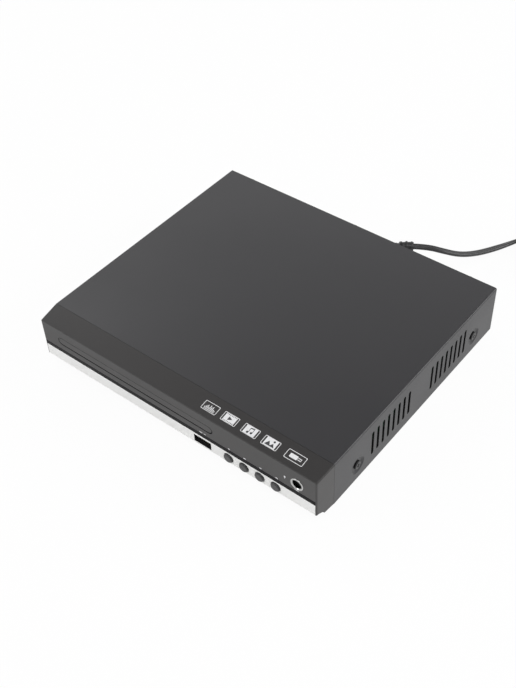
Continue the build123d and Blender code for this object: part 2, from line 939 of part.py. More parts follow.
def pulley_gear():
    gear = prism_z(spur_points(wheel_module, pinion_teeth), pulley_top, wheel_top)
    gear = Pos(pulley_x, drive_y, 0) * Rot(0, 0, 180) * gear
    gear += grooved_disc(pulley_x, pulley_radius)
    return gear - column(pulley_x, drive_y, pulley_z - over, wheel_top + over, post_radius + post_clear)


def motor_pulley():
    hole = column(motor_x, drive_y, pulley_z - over, pulley_top + over, motor_shaft + post_clear)
    return grooved_disc(motor_x, motor_pulley_radius) - hole


def belt_loop(extra):
    """The belt's inner edge, moved outwards by extra: two arcs and the runs tangent to them."""
    r1 = pulley_radius - groove_depth + belt_clear + extra
    r2 = motor_pulley_radius - groove_depth + belt_clear + extra
    lean = acos((r1 - r2) / belt_span)
    up1 = (pulley_x + r1 * cos(lean), drive_y + r1 * sin(lean))
    up2 = (motor_x + r2 * cos(lean), drive_y + r2 * sin(lean))
    low1 = (up1[0], 2 * drive_y - up1[1])
    low2 = (up2[0], 2 * drive_y - up2[1])
    return make_face([
        Line(up1, up2),
        ThreePointArc(up2, (motor_x + r2, drive_y), low2),
        Line(low2, low1),
        ThreePointArc(low1, (pulley_x - r1, drive_y), up1),
    ])


def drive_belt():
    z0 = (pulley_z + pulley_top - belt) / 2
    return extrude(Pos(0, 0, z0) * (belt_loop(belt) - belt_loop(0)), amount=belt)


def loading_motor():
    can = column(motor_x, drive_y, floor_z + motor_floor_gap, deck_bottom, motor_diameter / 2)
    return can + column(motor_x, drive_y, deck_bottom, pulley_top, motor_shaft)


def rack_cut():
    """The channel under the tray, with rack teeth along its right wall."""
    pitch = pi * rack_module
    y0 = drive_y - rack_lead * pitch
    count = int((arm_back - y0) / pitch) + 2
    tip_x = rack_x - rack_addendum * rack_module
    root_x = rack_x + dedendum * rack_module
    lean = tan(radians(pressure_angle)) * rack_module
    half_gap = pitch / 4 + backlash / 4
    left = drive_x - drive_radius - 2 * rack_module
    points = [(left, y0 - pitch / 2), (tip_x, y0 - pitch / 2)]
    for index in range(count):
        mid = y0 + index * pitch
        points += [
            (tip_x, mid - half_gap - rack_addendum * lean),
            (root_x, mid - half_gap + dedendum * lean),
            (root_x, mid + half_gap - dedendum * lean),
            (tip_x, mid + half_gap + rack_addendum * lean),
        ]
    end = y0 + count * pitch
    points += [(tip_x, end), (left, end)]
    return prism_z(points, tray_bottom - over, tray_bottom + rack_depth)


def disc_tray():
    root = tray_back - over
    plate = block(tray_left, tray_right, tray_front, tray_back, tray_bottom, tray_top)
    plate += block(tray_left, tray_left + arm_width, root, arm_back, tray_bottom, tray_top)
    plate += block(tray_right - arm_width, tray_right, root, arm_back, tray_bottom, tray_top)
    plate -= column(door_x, disc_y, disc_floor, tray_top + over, disc_pocket / 2)
    plate -= column(door_x, disc_y, disc_floor - small_pocket_depth, tray_top, small_pocket / 2)
    low = tray_bottom - over
    high = tray_top + over
    half = hub_slot / 2
    plate -= column(door_x, disc_y, low, high, half)
    plate -= block(door_x - half, door_x + half, disc_y, tray_back + over, low, high)
    return plate - rack_cut()


def tray_door():
    outline = SlotOverall(door_width, door_height)
    plate = front_plate(outline, door_x, door_mid, front_y - door_proud, tray_front)
    return fillet(plate.faces().sort_by(Axis.Y)[0].edges(), door_edge)


# Loader: frame and clamp

def frame_side(side):
    """One wall of the frame, with the ledge and lip that guide the tray, and its two feet."""
    face = frame_left if side < 0 else frame_right
    outer = face + side * frame_wall
    x0, x1 = sorted((face, outer))
    g0, g1 = sorted((outer, face - side * ledge))
    ledge_top = tray_bottom - tray_play
    wall = block(x0, x1, frame_front, frame_back, floor_z, frame_top)
    added = [
        block(g0, g1, frame_front, frame_back, ledge_top - ledge_thickness, ledge_top),
        block(g0, g1, frame_front, frame_back, tray_top + tray_play, frame_top),
    ]
    holes = []
    for x, y in frame_feet:
        if (x < door_x) == (side < 0):
            f0, f1 = sorted((face, x + side * frame_foot_half))
            foot_top = floor_z + frame_foot_thickness
            added.append(block(f0, f1, y - frame_foot_half, y + frame_foot_half, floor_z, foot_top))
            holes.append(column(x, y, floor_z - over, foot_top + over, screw_hole))
    return wall + added - holes


def cam_guide():
    """The beam before the cam slider and the grooved rail that the slider runs in."""
    rail_top = cam_bottom - cam_play
    lip_y = cam_y + cam_thickness + cam_play
    half = cam_length / 2 + cam_travel + rail_spare
    x0 = door_x - half
    x1 = door_x + half
    rail_low = rail_top - rail_thickness
    return [
        block(frame_left, frame_right, beam_y - frame_wall, beam_y, floor_z, deck_top),
        block(x0, x1, beam_y - over, lip_y + rail_lip, rail_low, rail_top),
        block(x0, x1, lip_y, lip_y + rail_lip, rail_low, rail_top + rail_thickness),
    ]


def loader_frame():
    deck_right = motor_x + motor_diameter / 2 + deck_spare
    crossbeam_y = pivot_y + crossbeam_offset
    added = [frame_side(1)] + cam_guide()
    added.append(block(frame_left, deck_right, frame_front, beam_y, deck_bottom, deck_top))
    added.append(block(frame_left, frame_right, crossbeam_y, crossbeam_y + frame_wall, floor_z, bearing_top))
    for side in (-1, 1):
        near = door_x + side * (traverse_width / 2 + bearing_gap)
        x0, x1 = sorted((near, near + side * pivot_stub))
        added.append(block(x0, x1, pivot_y - bearing_half, crossbeam_y + over, floor_z, bearing_top))
    for x, top in ((drive_x, drive_top), (pulley_x, wheel_top)):
        added.append(column(x, drive_y, deck_bottom, top - post_drop, post_radius))
    added.append(column(drive_x, drive_y, deck_bottom, wheel_z - post_drop, 2 * post_radius))
    for x, y in bridge_pegs:
        added.append(column(x, y, frame_top - over, bridge_top + peg_past, peg_radius))
    pivot_x = traverse_width / 2 + pivot_stub + over
    cutters = [
        bar_x(pivot_y, pivot_z, door_x - pivot_x, door_x + pivot_x, pivot_radius + pivot_play),
        column(motor_x, drive_y, deck_bottom - over, deck_top + over, motor_shaft + motor_hole_clear),
    ]
    return frame_side(-1) + added - cutters


def clamp_bridge():
    x0 = frame_left - frame_wall
    x1 = frame_right + frame_wall
    half = bridge_width / 2
    low = frame_top - over
    high = bridge_top + over
    plate = block(x0, x1, disc_y - half, disc_y + half, frame_top, bridge_top)
    holes = [column(x, y, low, high, peg_radius + peg_clear) for x, y in bridge_pegs]
    return plate - holes - column(door_x, disc_y, low, high, bridge_hole / 2)


def clamp_puck():
    flange_z = bridge_top + puck_play
    flange_top = flange_z + puck_flange_thickness
    puck = column(door_x, disc_y, puck_bottom, flange_top, puck_radius)
    puck += column(door_x, disc_y, flange_z, flange_top, puck_radius + puck_flange)
    hollow = cone_radius + puck_hollow
    return puck - column(door_x, disc_y, puck_bottom - over, cone_top + puck_hollow, hollow)


def loader_screws():
    length = frame_foot_thickness + steel
    return [Pos(x, y, floor_z + frame_foot_thickness) * screw(length) for x, y in frame_feet]


# Loader: traverse

def traverse_plate():
    half = traverse_width / 2
    root_z = (traverse_bottom + traverse_top) / 2
    low = traverse_bottom - over
    high = traverse_top + over
    window = pickup_width / 2 + pickup_gap
    end = pivot_y + traverse_margin
    plate = block(door_x - half, door_x + half, traverse_y, end, traverse_bottom, traverse_top)
    cutters = [
        block(door_x - window, door_x + window, lug_front + lug_thickness, lug_back, low, high),
        column(door_x, disc_y, low, high, spindle_shaft + spindle_sleeve + spindle_rise),
        bar_y(lead_x, rod_z, lug_front - over, lug_front + lug_thickness + over, lead_radius + rod_play),
    ]
    lugs = [(lead_x, lug_front)]
    added = []
    for side in (-1, 1):
        x = door_x + side * rod_spread
        lugs += [(x, lug_front), (x, lug_back)]
        cutters.append(bar_y(x, rod_z, lug_front - over, lug_back + lug_thickness + over, rod_radius))
        edge = door_x + side * half
        b0, b1 = sorted((edge - side * pivot_root, edge))
        added.append(block(b0, b1, pivot_y - pivot_boss, pivot_y + pivot_boss, pivot_z - pivot_boss, root_z))
        s0, s1 = sorted((edge - side * pivot_root / 2, edge + side * (pivot_stub - pivot_gap)))
        added.append(bar_x(pivot_y, pivot_z, s0, s1, pivot_radius))
        pin_x = door_x + side * cam_pin_spread
        pin_root = traverse_y + cam_pin_root
        p0 = pin_x - cam_pin_block
        p1 = pin_x + cam_pin_block
        added.append(block(p0, p1, traverse_y, pin_root, pin_z - cam_pin_block, root_z))
        added.append(bar_y(pin_x, pin_z, cam_y - cam_play / 2, pin_root - over, cam_pin_radius))
    for x, y in lugs:
        added.append(block(x - lug_half, x + lug_half, y, y + lug_thickness, rod_z - lug_half, root_z))
    return plate + added - cutters


def guide_rods():
    end = lug_back + lug_thickness
    return [bar_y(door_x + side * rod_spread, rod_z, lug_front, end, rod_radius) for side in (-1, 1)]


def spindle_motor():
    base = traverse_bottom - spindle_motor_height
    body = column(door_x, disc_y, base, traverse_bottom, spindle_motor_radius)
    sleeve_top = traverse_top + spindle_rise
    body += column(door_x, disc_y, traverse_bottom - over, sleeve_top, spindle_shaft + spindle_sleeve)
    floor = traverse_bottom - spindle_depth
    return body - column(door_x, disc_y, floor, sleeve_top + over, spindle_shaft + post_clear)


def turntable():
    table = column(door_x, disc_y, disc_seat - turntable_thickness, disc_seat, turntable_radius)
    tip = cone_radius - cone_taper
    cone = Pos(door_x, disc_y, disc_seat + cone_height / 2) * Cone(cone_radius, tip, cone_height)
    hub = column(door_x, disc_y, traverse_top + 2 * spindle_rise, disc_seat, turntable_hub)
    shaft_end = traverse_bottom - spindle_depth + spindle_gap
    return table + [cone, hub, column(door_x, disc_y, shaft_end, disc_seat, spindle_shaft)]


def pickup_body():
    half = pickup_width / 2
    y0 = lens_y - pickup_front
    y1 = lens_y + pickup_rear
    body = block(door_x - half, door_x + half, y0, y1, rod_z - pickup_below, pickup_top)
    wide = lens_block_width / 2
    deep = lens_block_depth / 2
    tower_top = lens_top - lens_block_drop
    body += block(door_x - wide, door_x + wide, lens_y - deep, lens_y + deep, pickup_top - over, tower_top)
    nut_x = lead_x + lead_radius + nut_gap
    nut_y = nut_length / 2
    nut_z = nut_thickness / 2
    body += block(nut_x, door_x - half + over, lens_y - nut_y, lens_y + nut_y, rod_z - nut_z, rod_z + nut_z)
    hole = rod_radius + rod_play
    cutters = [bar_y(door_x + side * rod_spread, rod_z, y0 - over, y1 + over, hole) for side in (-1, 1)]
    cutters.append(column(door_x, lens_y, pickup_top - lens_depth, lens_top, lens_radius + lens_clear))
    return body - cutters


def objective_lens():
    barrel = column(door_x, lens_y, pickup_top - lens_depth, lens_top, lens_radius)
    return fillet(barrel.faces().sort_by(Axis.Z)[-1].edges(), lens_round)


def sled_motor():
    section = Rectangle(sled_motor_size, sled_motor_size)
    middle = traverse_bottom - sled_motor_size / 2
    body = front_plate(section, lead_x, middle, sled_motor_y, lug_back)
    entry = sled_motor_y + lead_entry + spindle_gap
    return body - bar_y(lead_x, rod_z, sled_motor_y - over, entry, lead_radius + rod_play)


def lead_screw():
    return bar_y(lead_x, rod_z, lug_front - spindle_gap, sled_motor_y + lead_entry, lead_radius)


def cam_slider():
    half = cam_length / 2
    cam_top = pin_z + cam_pin_radius + cam_crown
    plate = block(door_x - half, door_x + half, cam_y, cam_y + cam_thickness, cam_bottom, cam_top)
    width = 2 * (cam_pin_radius + cam_play)
    run = sqrt(cam_travel ** 2 + cam_fall ** 2)
    lean = degrees(atan2(cam_fall, cam_travel))
    slot = Rot(0, 0, -lean) * SlotOverall(run + width + cam_slot_spare, width)
    for side in (-1, 1):
        x = door_x + side * cam_pin_spread + cam_travel / 2
        z = pin_z - cam_fall / 2
        plate -= front_plate(slot, x, z, cam_y - over, cam_y + cam_thickness + over)
    return plate


# Boards and sockets

def plain_board(x0, x1, y0, y1, z, spots):
    holes = [column(x, y, z - over, z + board + over, screw_hole) for x, y in spots]
    return block(x0, x1, y0, y1, z, z + board) - holes


def main_board():
    return plain_board(board_left, board_right, main_front, main_back, board_z, main_spots)


def power_board():
    return plain_board(board_left, board_right, power_front, power_back, board_z, power_spots)


def av_board():
    return plain_board(av_left, av_right, av_front, av_back, av_bottom, av_spots)


def board_screws():
    spots = [(x, y, board_top) for x, y in main_spots + power_spots]
    spots += [(x, y, av_top) for x, y in av_spots]
    upright = screw(board_screw_length)
    return [Pos(x, y, z) * upright for x, y, z in spots]


def decoder_heat_sink():
    middle = (board_left + board_right) / 2
    x0 = middle - sink_share * board_width / 2
    x1 = middle + sink_share * board_width / 2
    y0 = main_mid - sink_depth / 2
    sink = block(x0, x1, y0, y0 + sink_depth, board_top, board_top + sink_base)
    pitch = (sink_depth - fin_thickness) / (fin_count - 1)
    fins = []
    for index in range(fin_count):
        y = y0 + index * pitch
        fins.append(block(x0, x1, y, y + fin_thickness, board_top + sink_base / 2, board_top + sink_height))
    return sink + fins


def power_transformer():
    """A core like a picture frame, seen along the depth, with a winding through its window."""
    x = board_left + core_place[0] * board_width
    y = power_front + core_place[1]
    width_share, depth, height = core_size
    width = width_share * board_width
    core_wall = core_wall_share * width
    middle = board_top + height / 2
    core = front_plate(Rectangle(width, height), x, middle, y - depth / 2, y + depth / 2)
    window = Rectangle(width - 2 * core_wall, height - 2 * core_wall)
    core -= front_plate(window, x, middle, y - depth / 2 - over, y + depth / 2 + over)
    half = width / 2 - core_wall / 2
    return core + bar_x(y, middle, x - half, x + half, winding_radius)


def capacitors():
    cans = []
    on_power = (big_capacitor,) + small_capacitors
    placed = [(share, power_front + y, radius, height) for share, y, radius, height in on_power]
    placed += [(share, main_back - y, radius, height) for share, y, radius, height in board_capacitors]
    for share, y, radius, height in placed:
        cans.append(column(board_left + share * board_width, y, board_top, board_top + height, radius))
    return [fillet(can.faces().sort_by(Axis.Z)[-1].edges(), capacitor_edge) for can in cans]


def rca_block():
    x0 = jack_places[0] - jack_pitch / 2
    x1 = jack_places[-1] + jack_pitch / 2
    body = block(x0, x1, av_back - jack_block_depth, av_back, av_top, jack_z + jack_block_rise)
    return body - [bar_y(x, jack_z, av_back - jack_seat, av_back + over, jack_neck) for x in jack_places]


def rca_sleeves():
    bottom = av_back - jack_seat
    bore = jack_radius - jack_wall
    sleeves = []
    for x in jack_places:
        sleeve = bar_y(x, jack_z, bottom, jack_end, jack_neck)
        sleeve += bar_y(x, jack_z, rear_wall_y, jack_end, jack_radius)
        sleeves.append(sleeve - bar_y(x, jack_z, bottom + jack_floor, jack_end + over, bore))
    return sleeves


def rca_insulators():
    bottom = av_back - jack_seat + jack_floor
    end = jack_end - insulator_setback
    plugs = []
    for x in jack_places:
        plug = bar_y(x, jack_z, bottom, end, jack_radius - jack_wall)
        plugs.append(plug - bar_y(x, jack_z, bottom + jack_floor, end + over, jack_pin_bore))
    return plugs


def hdmi_socket():
    inner = hdmi_y - hdmi_depth
    shell = front_plate(Rectangle(hdmi_width, hdmi_height), hdmi_place, hdmi_z, inner, hdmi_y)
    inside = Rectangle(hdmi_width - 2 * hdmi_shell, hdmi_height - 2 * hdmi_shell)
    shell -= front_plate(inside, hdmi_place, hdmi_z, inner + hdmi_back, hdmi_y + over)
    tongue = Rectangle(hdmi_width - 2 * hdmi_tongue_margin, hdmi_tongue)
    return shell + front_plate(tongue, hdmi_place, hdmi_z, inner + over, hdmi_y - hdmi_tongue_setback)


def ribbon_cable():
    """A flat cable along the floor from beside the loader, up and into a socket on the main board."""
    y0 = main_mid - ribbon_width / 2
    y1 = main_mid + ribbon_width / 2
    length_share, width, height = ribbon_plug
    length = length_share * board_width
    riser = board_left - ribbon_gap
    plug_x = board_left + ribbon_plug_place * board_width
    crest = board_top + ribbon_rise
    floor_start = frame_right + frame_wall + ribbon_start
    inner = riser - ribbon_thickness
    plug = Rot(0, 0, 90) * Box(width, length, height)
    return block(floor_start, riser, y0, y1, floor_z, floor_z + ribbon_thickness) + [
        block(inner, riser, y0, y1, floor_z, crest),
        block(inner, plug_x + over, y0, y1, crest - ribbon_thickness, crest),
        Pos(plug_x + length / 2, main_mid, board_top + height / 2) * plug,
    ]


def mains_wires():
    """Two wires from the strain relief's inner end to a terminal on the power board."""
    y = power_back - terminal_setback
    x = board_left + terminal_place * board_width
    width, depth = terminal_size
    wires = []
    for side in (-1, 1):
        z = relief_z + side * wire_split
        turn_y = y + side * wire_split
        corners = [(relief_place, relief_inner, z), (relief_place, turn_y, z), (x, turn_y, z)]
        path = FilletPolyline(*corners, radius=wire_bend)
        wires.append(sweep(Plane(path @ 0, z_dir=path % 0) * Circle(wire_radius), path=path))
    terminal = block(x, x + width, y - depth / 2, y + depth / 2, board_top, relief_z + terminal_rise)
    return wires + [terminal]


# Mains cord

def flat_heading(angle):
    """A level direction, turned by an angle from straight back towards the right."""
    return Vector(sin(radians(angle)), cos(radians(angle)), 0)


def relief_path():
    start = Vector(relief_place, back_y, relief_z)
    bend = start + Vector(0, relief_straight, 0)
    centre = bend + Vector(relief_bend, 0, 0)
    middle = centre + flat_heading(relief_turn / 2 - 90) * relief_bend
    over_end = centre + flat_heading(relief_turn - 90) * relief_bend
    tip = over_end + flat_heading(relief_turn) * relief_end
    return Wire([
        Line(start, bend).edge(),
        ThreePointArc(bend, middle, over_end).edge(),
        Line(over_end, tip).edge(),
    ])


def strain_relief():
    path = relief_path()
    body = sweep(Plane(path @ 0, z_dir=path % 0) * Circle(relief_core), path=path)
    for index in range(rib_count):
        step = index / (rib_count - 1)
        share = rib_first + (rib_last - rib_first) * step
        rib = Cylinder(relief_rib + (relief_rib_end - relief_rib) * step, rib_thickness)
        rib = fillet(rib.edges().filter_by(GeomType.CIRCLE), rib_round)
        body += Plane(path @ share, z_dir=path % share) * rib
    body += bar_y(relief_place, relief_z, rear_wall_y, back_y + collar_thickness, collar_radius)
    body += bar_y(relief_place, relief_z, rear_wall_y - steel, back_y, neck_radius)
    return body + bar_y(relief_place, relief_z, relief_inner, rear_wall_y - steel, collar_radius)


def cord_route():
    """Points chosen by hand from the relief's tip to the coil, as (beside the relief, behind the back, z)."""
    chosen = [
        (26.6, 30.9, 23.6),
        (34.0, 40.2, 17.8),
        (39.6, 54.5, 11.6),
        (44.4, 71.0, 6.6),
        (50.2, 88.2, 3.5),
    ]
    tip = relief_path() @ 1
    first = tip + flat_heading(relief_turn) * cord_straight
    beside, behind = coil_entry
    entry = Vector(relief_place + beside, back_y + behind, coil_lift + cord_width / 2)
    last = entry - flat_heading(coil_heading) * cord_lead
    placed = [Vector(relief_place + x, back_y + y, z) for x, y, z in chosen]
    return [tip, first] + placed + [last, entry]


def cord_tube(path, name):
    """A round cord along a path, with its length and its share of the volume that it should have."""
    tube = sweep(Plane(path @ 0, z_dir=path % 0) * Circle(cord_width / 2), path=path)
    share = tube.volume / (pi * cord_width ** 2 / 4 * path.length)
    print(name, "length", round(path.length, 1), "volume share", round(share, 4))
    return tube


def power_cord():
    points = cord_route()
    runs = [(b - a).length for a, b in zip(points, points[1:])]
    radii = []
    for index in range(1, len(points) - 1):
        before = points[index] - points[index - 1]
        after = points[index + 1] - points[index]
        half_turn_angle = radians(before.get_angle(after) / 2)
        radii.append(cord_bend_share * min(runs[index - 1], runs[index]) / tan(half_turn_angle))
    print("cord radii", [round(r, 1) for r in radii])
    return cord_tube(FilletPolyline(*points, radius=radii), "cord stretch")


def coil_frame():
    """Start, forward and right directions of the coil, on the floor."""
    forward = flat_heading(coil_heading)
    return cord_route()[-1], forward, flat_heading(coil_heading + 90)


def half_turn(start, forward, right, radius, rise):
    """Half a turn to the right; one arc on the level, or two arcs that climb by rise."""
    end = start + right * (2 * radius) + Vector(0, 0, rise)
    bulge = sqrt(radius ** 2 + rise ** 2 / 4)
    crown = start + right * radius + forward * bulge + Vector(0, 0, rise / 2)
    if rise == 0:
        return [ThreePointArc(start, crown, end).edge()], end
    mid_tangent = right * radius + Vector(0, 0, rise / 2)
    first = TangentArc(start, crown, tangent=forward).edge()
    second = TangentArc(crown, end, tangent=mid_tangent).edge()
    return [first, second], end


def coil_path():
    """The coil's edges, its free end and the direction of the cord there."""
    start, forward, right = coil_frame()
    point = start + forward * cord_width
    edges = [Line(start, point).edge()]
    inward = [coil_inner + coil_pitch / 2 * (coil_half_turns - k) for k in range(coil_half_turns)]
    turns = [(r, 0.0) for r in inward] + [(coil_inner, coil_layer)] + [(r, 0.0) for r in reversed(inward)]
    for radius, rise in turns:
        made, point = half_turn(point, forward, right, radius, rise)
        edges += made
        forward = forward * -1
        right = right * -1
    turn = radians(tail_turn)
    away = right * -1
    middle = point + away * (tail_radius * (1 - cos(turn / 2))) + forward * (tail_radius * sin(turn / 2))
    bent = point + away * (tail_radius * (1 - cos(turn))) + forward * (tail_radius * sin(turn))
    edges.append(ThreePointArc(point, middle, bent).edge())
    leave = forward * cos(turn) + away * sin(turn)
    tip = bent + leave * cord_width
    edges.append(Line(bent, tip).edge())
    return edges, tip, leave


def coil_gap(edges):
    """The least gap between parts of the coil that are not next to each other along it."""
    samples = []
    run = 0.0
    for edge in edges:
        count = max(2, int(edge.length / 2.0))
        for step in range(count):
            samples.append((run + edge.length * step / count, edge @ (step / count)))
        run += edge.length
    near = 4 * cord_width
    least = min(
        (b - a).length
        for i, (s, a) in enumerate(samples)
        for t, b in samples[i + 1:]
        if t - s > near and abs(b.X - a.X) < near and abs(b.Y - a.Y) < near
    )
    return least - cord_width


def cord_coil():
    edges, tip, leave = coil_path()
    print("coil least gap", round(coil_gap(edges), 2))
    return cord_tube(Wire(edges), "coil")


def cord_tie():
    """A flat strap round the bundle of turns, at the side of the coil away from the tail."""
    start, forward, right = coil_frame()
    turns_radius = coil_inner + coil_pitch / 2 * coil_half_turns
    centre = start + forward * cord_width + right * (turns_radius - coil_pitch / 4)
    inner = coil_inner - coil_pitch / 2 - cord_width / 2 - tie_play
    outer = turns_radius + coil_pitch / 2 + cord_width / 2 + tie_play
    height = coil_lift + cord_width + coil_layer + tie_play
    half = tie_width / 2
    band = block(-half, half, inner - tie_thickness, outer + tie_thickness, 0, height + tie_thickness)
    band -= block(-half - over, half + over, inner, outer, tie_thickness, height)
    return Plane(origin=(centre.X, centre.Y, 0), x_dir=right * -1, z_dir=(0, 0, 1)) * band


def plug_plane():
    """Plane at the cord's end, X across the plug, Z along it."""
    edges, tip, leave = coil_path()
    return Plane(origin=tip, x_dir=Vector(leave.Y, -leave.X, 0), z_dir=leave)


def mains_plug():
    thick = 2 * (coil_lift + cord_width / 2 + coil_layer)
    neck = RectangleRounded(plug_neck, plug_neck, plug_round)
    waist = Pos(0, 0, plug_waist) * RectangleRounded(plug_waist, plug_waist, plug_round)
    face = Pos(0, 0, plug_length) * RectangleRounded(plug_width, thick, plug_round)
    return plug_plane() * (loft([neck, waist]) + loft([waist, face]))


def plug_pins():
    pins = []
    for side in (-1, 1):
        pin = Pos(side * pin_spread / 2, 0, plug_length + pin_length / 2) * Cylinder(pin_radius, pin_length)
        pins.append(plug_plane() * fillet(pin.faces().sort_by(Axis.Z)[-1].edges(), pin_round))
    return pins


os.makedirs("parts", exist_ok=True)

save("bottom_chassis", bottom_chassis())
save("top_cover", top_cover())
group("front_bezel", front_bezel())
save("smoked_window", smoked_window())
save("front_trim_strip", front_trim_strip())
group("rubber_feet", rubber_feet())
group("side_screws", side_screws())
group("rear_screws", rear_screws())

for name, place in zip(button_names, button_places):
    save(f"{name}_button", front_button(place))
group("tact_switches", tact_switches())
save("front_board", front_board())
save("remote_receiver", remote_receiver())
save("usb_socket", usb_socket())
save("usb_tongue", usb_tongue())
save("mic_jack_bushing", mic_jack_bushing())
save("mic_jack_body", mic_jack_body())

save("disc_tray", disc_tray())
save("tray_door", tray_door())
save("drive_gear", drive_gear())
save("pulley_gear", pulley_gear())
save("motor_pulley", motor_pulley())
save("drive_belt", drive_belt())
save("loading_motor", loading_motor())

save("loader_frame", loader_frame())
save("clamp_bridge", clamp_bridge())
save("clamp_puck", clamp_puck())
group("loader_screws", loader_screws())
save("traverse_plate", traverse_plate())
group("guide_rods", guide_rods())
save("spindle_motor", spindle_motor())
save("turntable", turntable())
save("pickup_body", pickup_body())
save("objective_lens", objective_lens())
save("sled_motor", sled_motor())
save("lead_screw", lead_screw())
save("cam_slider", cam_slider())

save("main_board", main_board())
save("power_board", power_board())
save("av_board", av_board())
group("board_screws", board_screws())
save("decoder_heat_sink", decoder_heat_sink())
save("power_transformer", power_transformer())
group("capacitors", capacitors())
save("rca_block", rca_block())
group("rca_sleeves", rca_sleeves())
group("rca_insulators", rca_insulators())
save("hdmi_socket", hdmi_socket())
save("ribbon_cable", ribbon_cable())
group("mains_wires", mains_wires())

save("strain_relief", strain_relief())
save("power_cord", power_cord())
save("cord_coil", cord_coil())
save("cord_tie", cord_tie())
save("mains_plug", mains_plug())
group("plug_pins", plug_pins())
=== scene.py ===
"""Finishes, prints, mains cord, light and camera for a low disc player with a sliding tray."""
from math import atan2, cos, pi, radians, sin, tan

import bmesh
import bpy
from mathutils import Matrix, Vector


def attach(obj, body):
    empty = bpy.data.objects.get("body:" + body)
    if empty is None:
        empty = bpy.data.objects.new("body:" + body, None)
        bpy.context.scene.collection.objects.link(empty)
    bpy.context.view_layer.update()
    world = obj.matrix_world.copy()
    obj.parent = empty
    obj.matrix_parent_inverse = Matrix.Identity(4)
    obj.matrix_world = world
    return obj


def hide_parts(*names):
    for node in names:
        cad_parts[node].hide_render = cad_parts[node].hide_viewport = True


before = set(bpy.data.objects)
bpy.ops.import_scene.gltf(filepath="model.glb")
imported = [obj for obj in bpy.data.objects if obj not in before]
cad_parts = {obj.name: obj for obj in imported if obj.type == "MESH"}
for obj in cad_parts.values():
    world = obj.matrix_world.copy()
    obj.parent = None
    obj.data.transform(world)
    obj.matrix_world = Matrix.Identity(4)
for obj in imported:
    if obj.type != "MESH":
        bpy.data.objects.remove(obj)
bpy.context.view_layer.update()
scene = bpy.context.scene
mm = 0.001

# Places on the casing, in metres
front_y = -0.10265
seam_y = -0.08715
top_z = 0.0414
lip_z = 0.0389
seat_y = -0.10065
strip_mid_z = 0.0134
usb_x = 0.0256
first_button_x = 0.0461
button_pitch = 0.0119
button_count = 4
door_x = -0.0311
door_mid_z = 0.02905
door_opening_width = 0.1312
door_opening_height = 0.0061
usb_opening_width = 0.0136
usb_opening_height = 0.0062
hdmi_x = -0.030
hdmi_mid_z = 0.0160
tongue_width = 0.0111
tongue_thickness = 0.0015
side_x = 0.1125
vent_mid_z = 0.0225
vent_height = 0.0202
vent_width = 0.0025
vent_pitch = 0.00567
vent_count = 8
vent_starts = (0.0392, 0.1049)


# Camera

def photo_camera():
    """The camera at the picture's viewing angle."""
    data = bpy.data.cameras.new("photo_camera")
    data.lens = 54.569
    data.sensor_width = 36.0
    data.clip_start = 0.01
    camera = bpy.data.objects.new("photo_camera", data)
    right = Vector((0.78293, 0.62111, -0.03528))
    up = Vector((-0.42084, 0.57053, 0.70526))
    back = Vector((0.45817, -0.53731, 0.70808))
    turn = Matrix((right, up, back)).transposed().to_4x4()
    camera.matrix_world = Matrix.Translation((0.31779, -0.38886, 0.50391)) @ turn
    scene.collection.objects.link(camera)
    scene.camera = camera


# Finishes

def shade(colour, share):
    """A colour made lighter or darker by a share."""
    return tuple(min(1.0, part * (1.0 + share)) for part in colour) + (1.0,)


def link_noise(tree, place, scale, detail):
    noise = tree.nodes.new("ShaderNodeTexNoise")
    noise.inputs["Scale"].default_value = scale
    noise.inputs["Detail"].default_value = detail
    tree.links.new(place, noise.inputs["Vector"])
    return noise.outputs["Fac"]


def link_spangle(tree, place, scale):
    """The many-sided crystals of zinc-coated sheet."""
    cells = tree.nodes.new("ShaderNodeTexVoronoi")
    cells.inputs["Scale"].default_value = scale
    tree.links.new(place, cells.inputs["Vector"])
    grey = tree.nodes.new("ShaderNodeRGBToBW")
    tree.links.new(cells.outputs["Color"], grey.inputs["Color"])
    return grey.outputs["Val"]


def link_range(tree, value, low, high):
    """Spreads the middle of a noise over a range."""
    ranged = tree.nodes.new("ShaderNodeMapRange")
    ranged.inputs["From Min"].default_value = 0.3
    ranged.inputs["From Max"].default_value = 0.7
    ranged.inputs["To Min"].default_value = low
    ranged.inputs["To Max"].default_value = high
    tree.links.new(value, ranged.inputs["Value"])
    return ranged.outputs["Result"]


def link_mix(tree, factor, first, second):
    """Mixes two colours, each a value or another node's output."""
    mix = tree.nodes.new("ShaderNodeMix")
    mix.data_type = "RGBA"
    tree.links.new(factor, mix.inputs["Factor"])
    for name, colour in (("A", first), ("B", second)):
        socket = [s for s in mix.inputs if s.name == name and s.type == "RGBA"][0]
        if isinstance(colour, tuple):
            socket.default_value = colour
        else:
            tree.links.new(colour, socket)
    return [s for s in mix.outputs if s.type == "RGBA"][0]


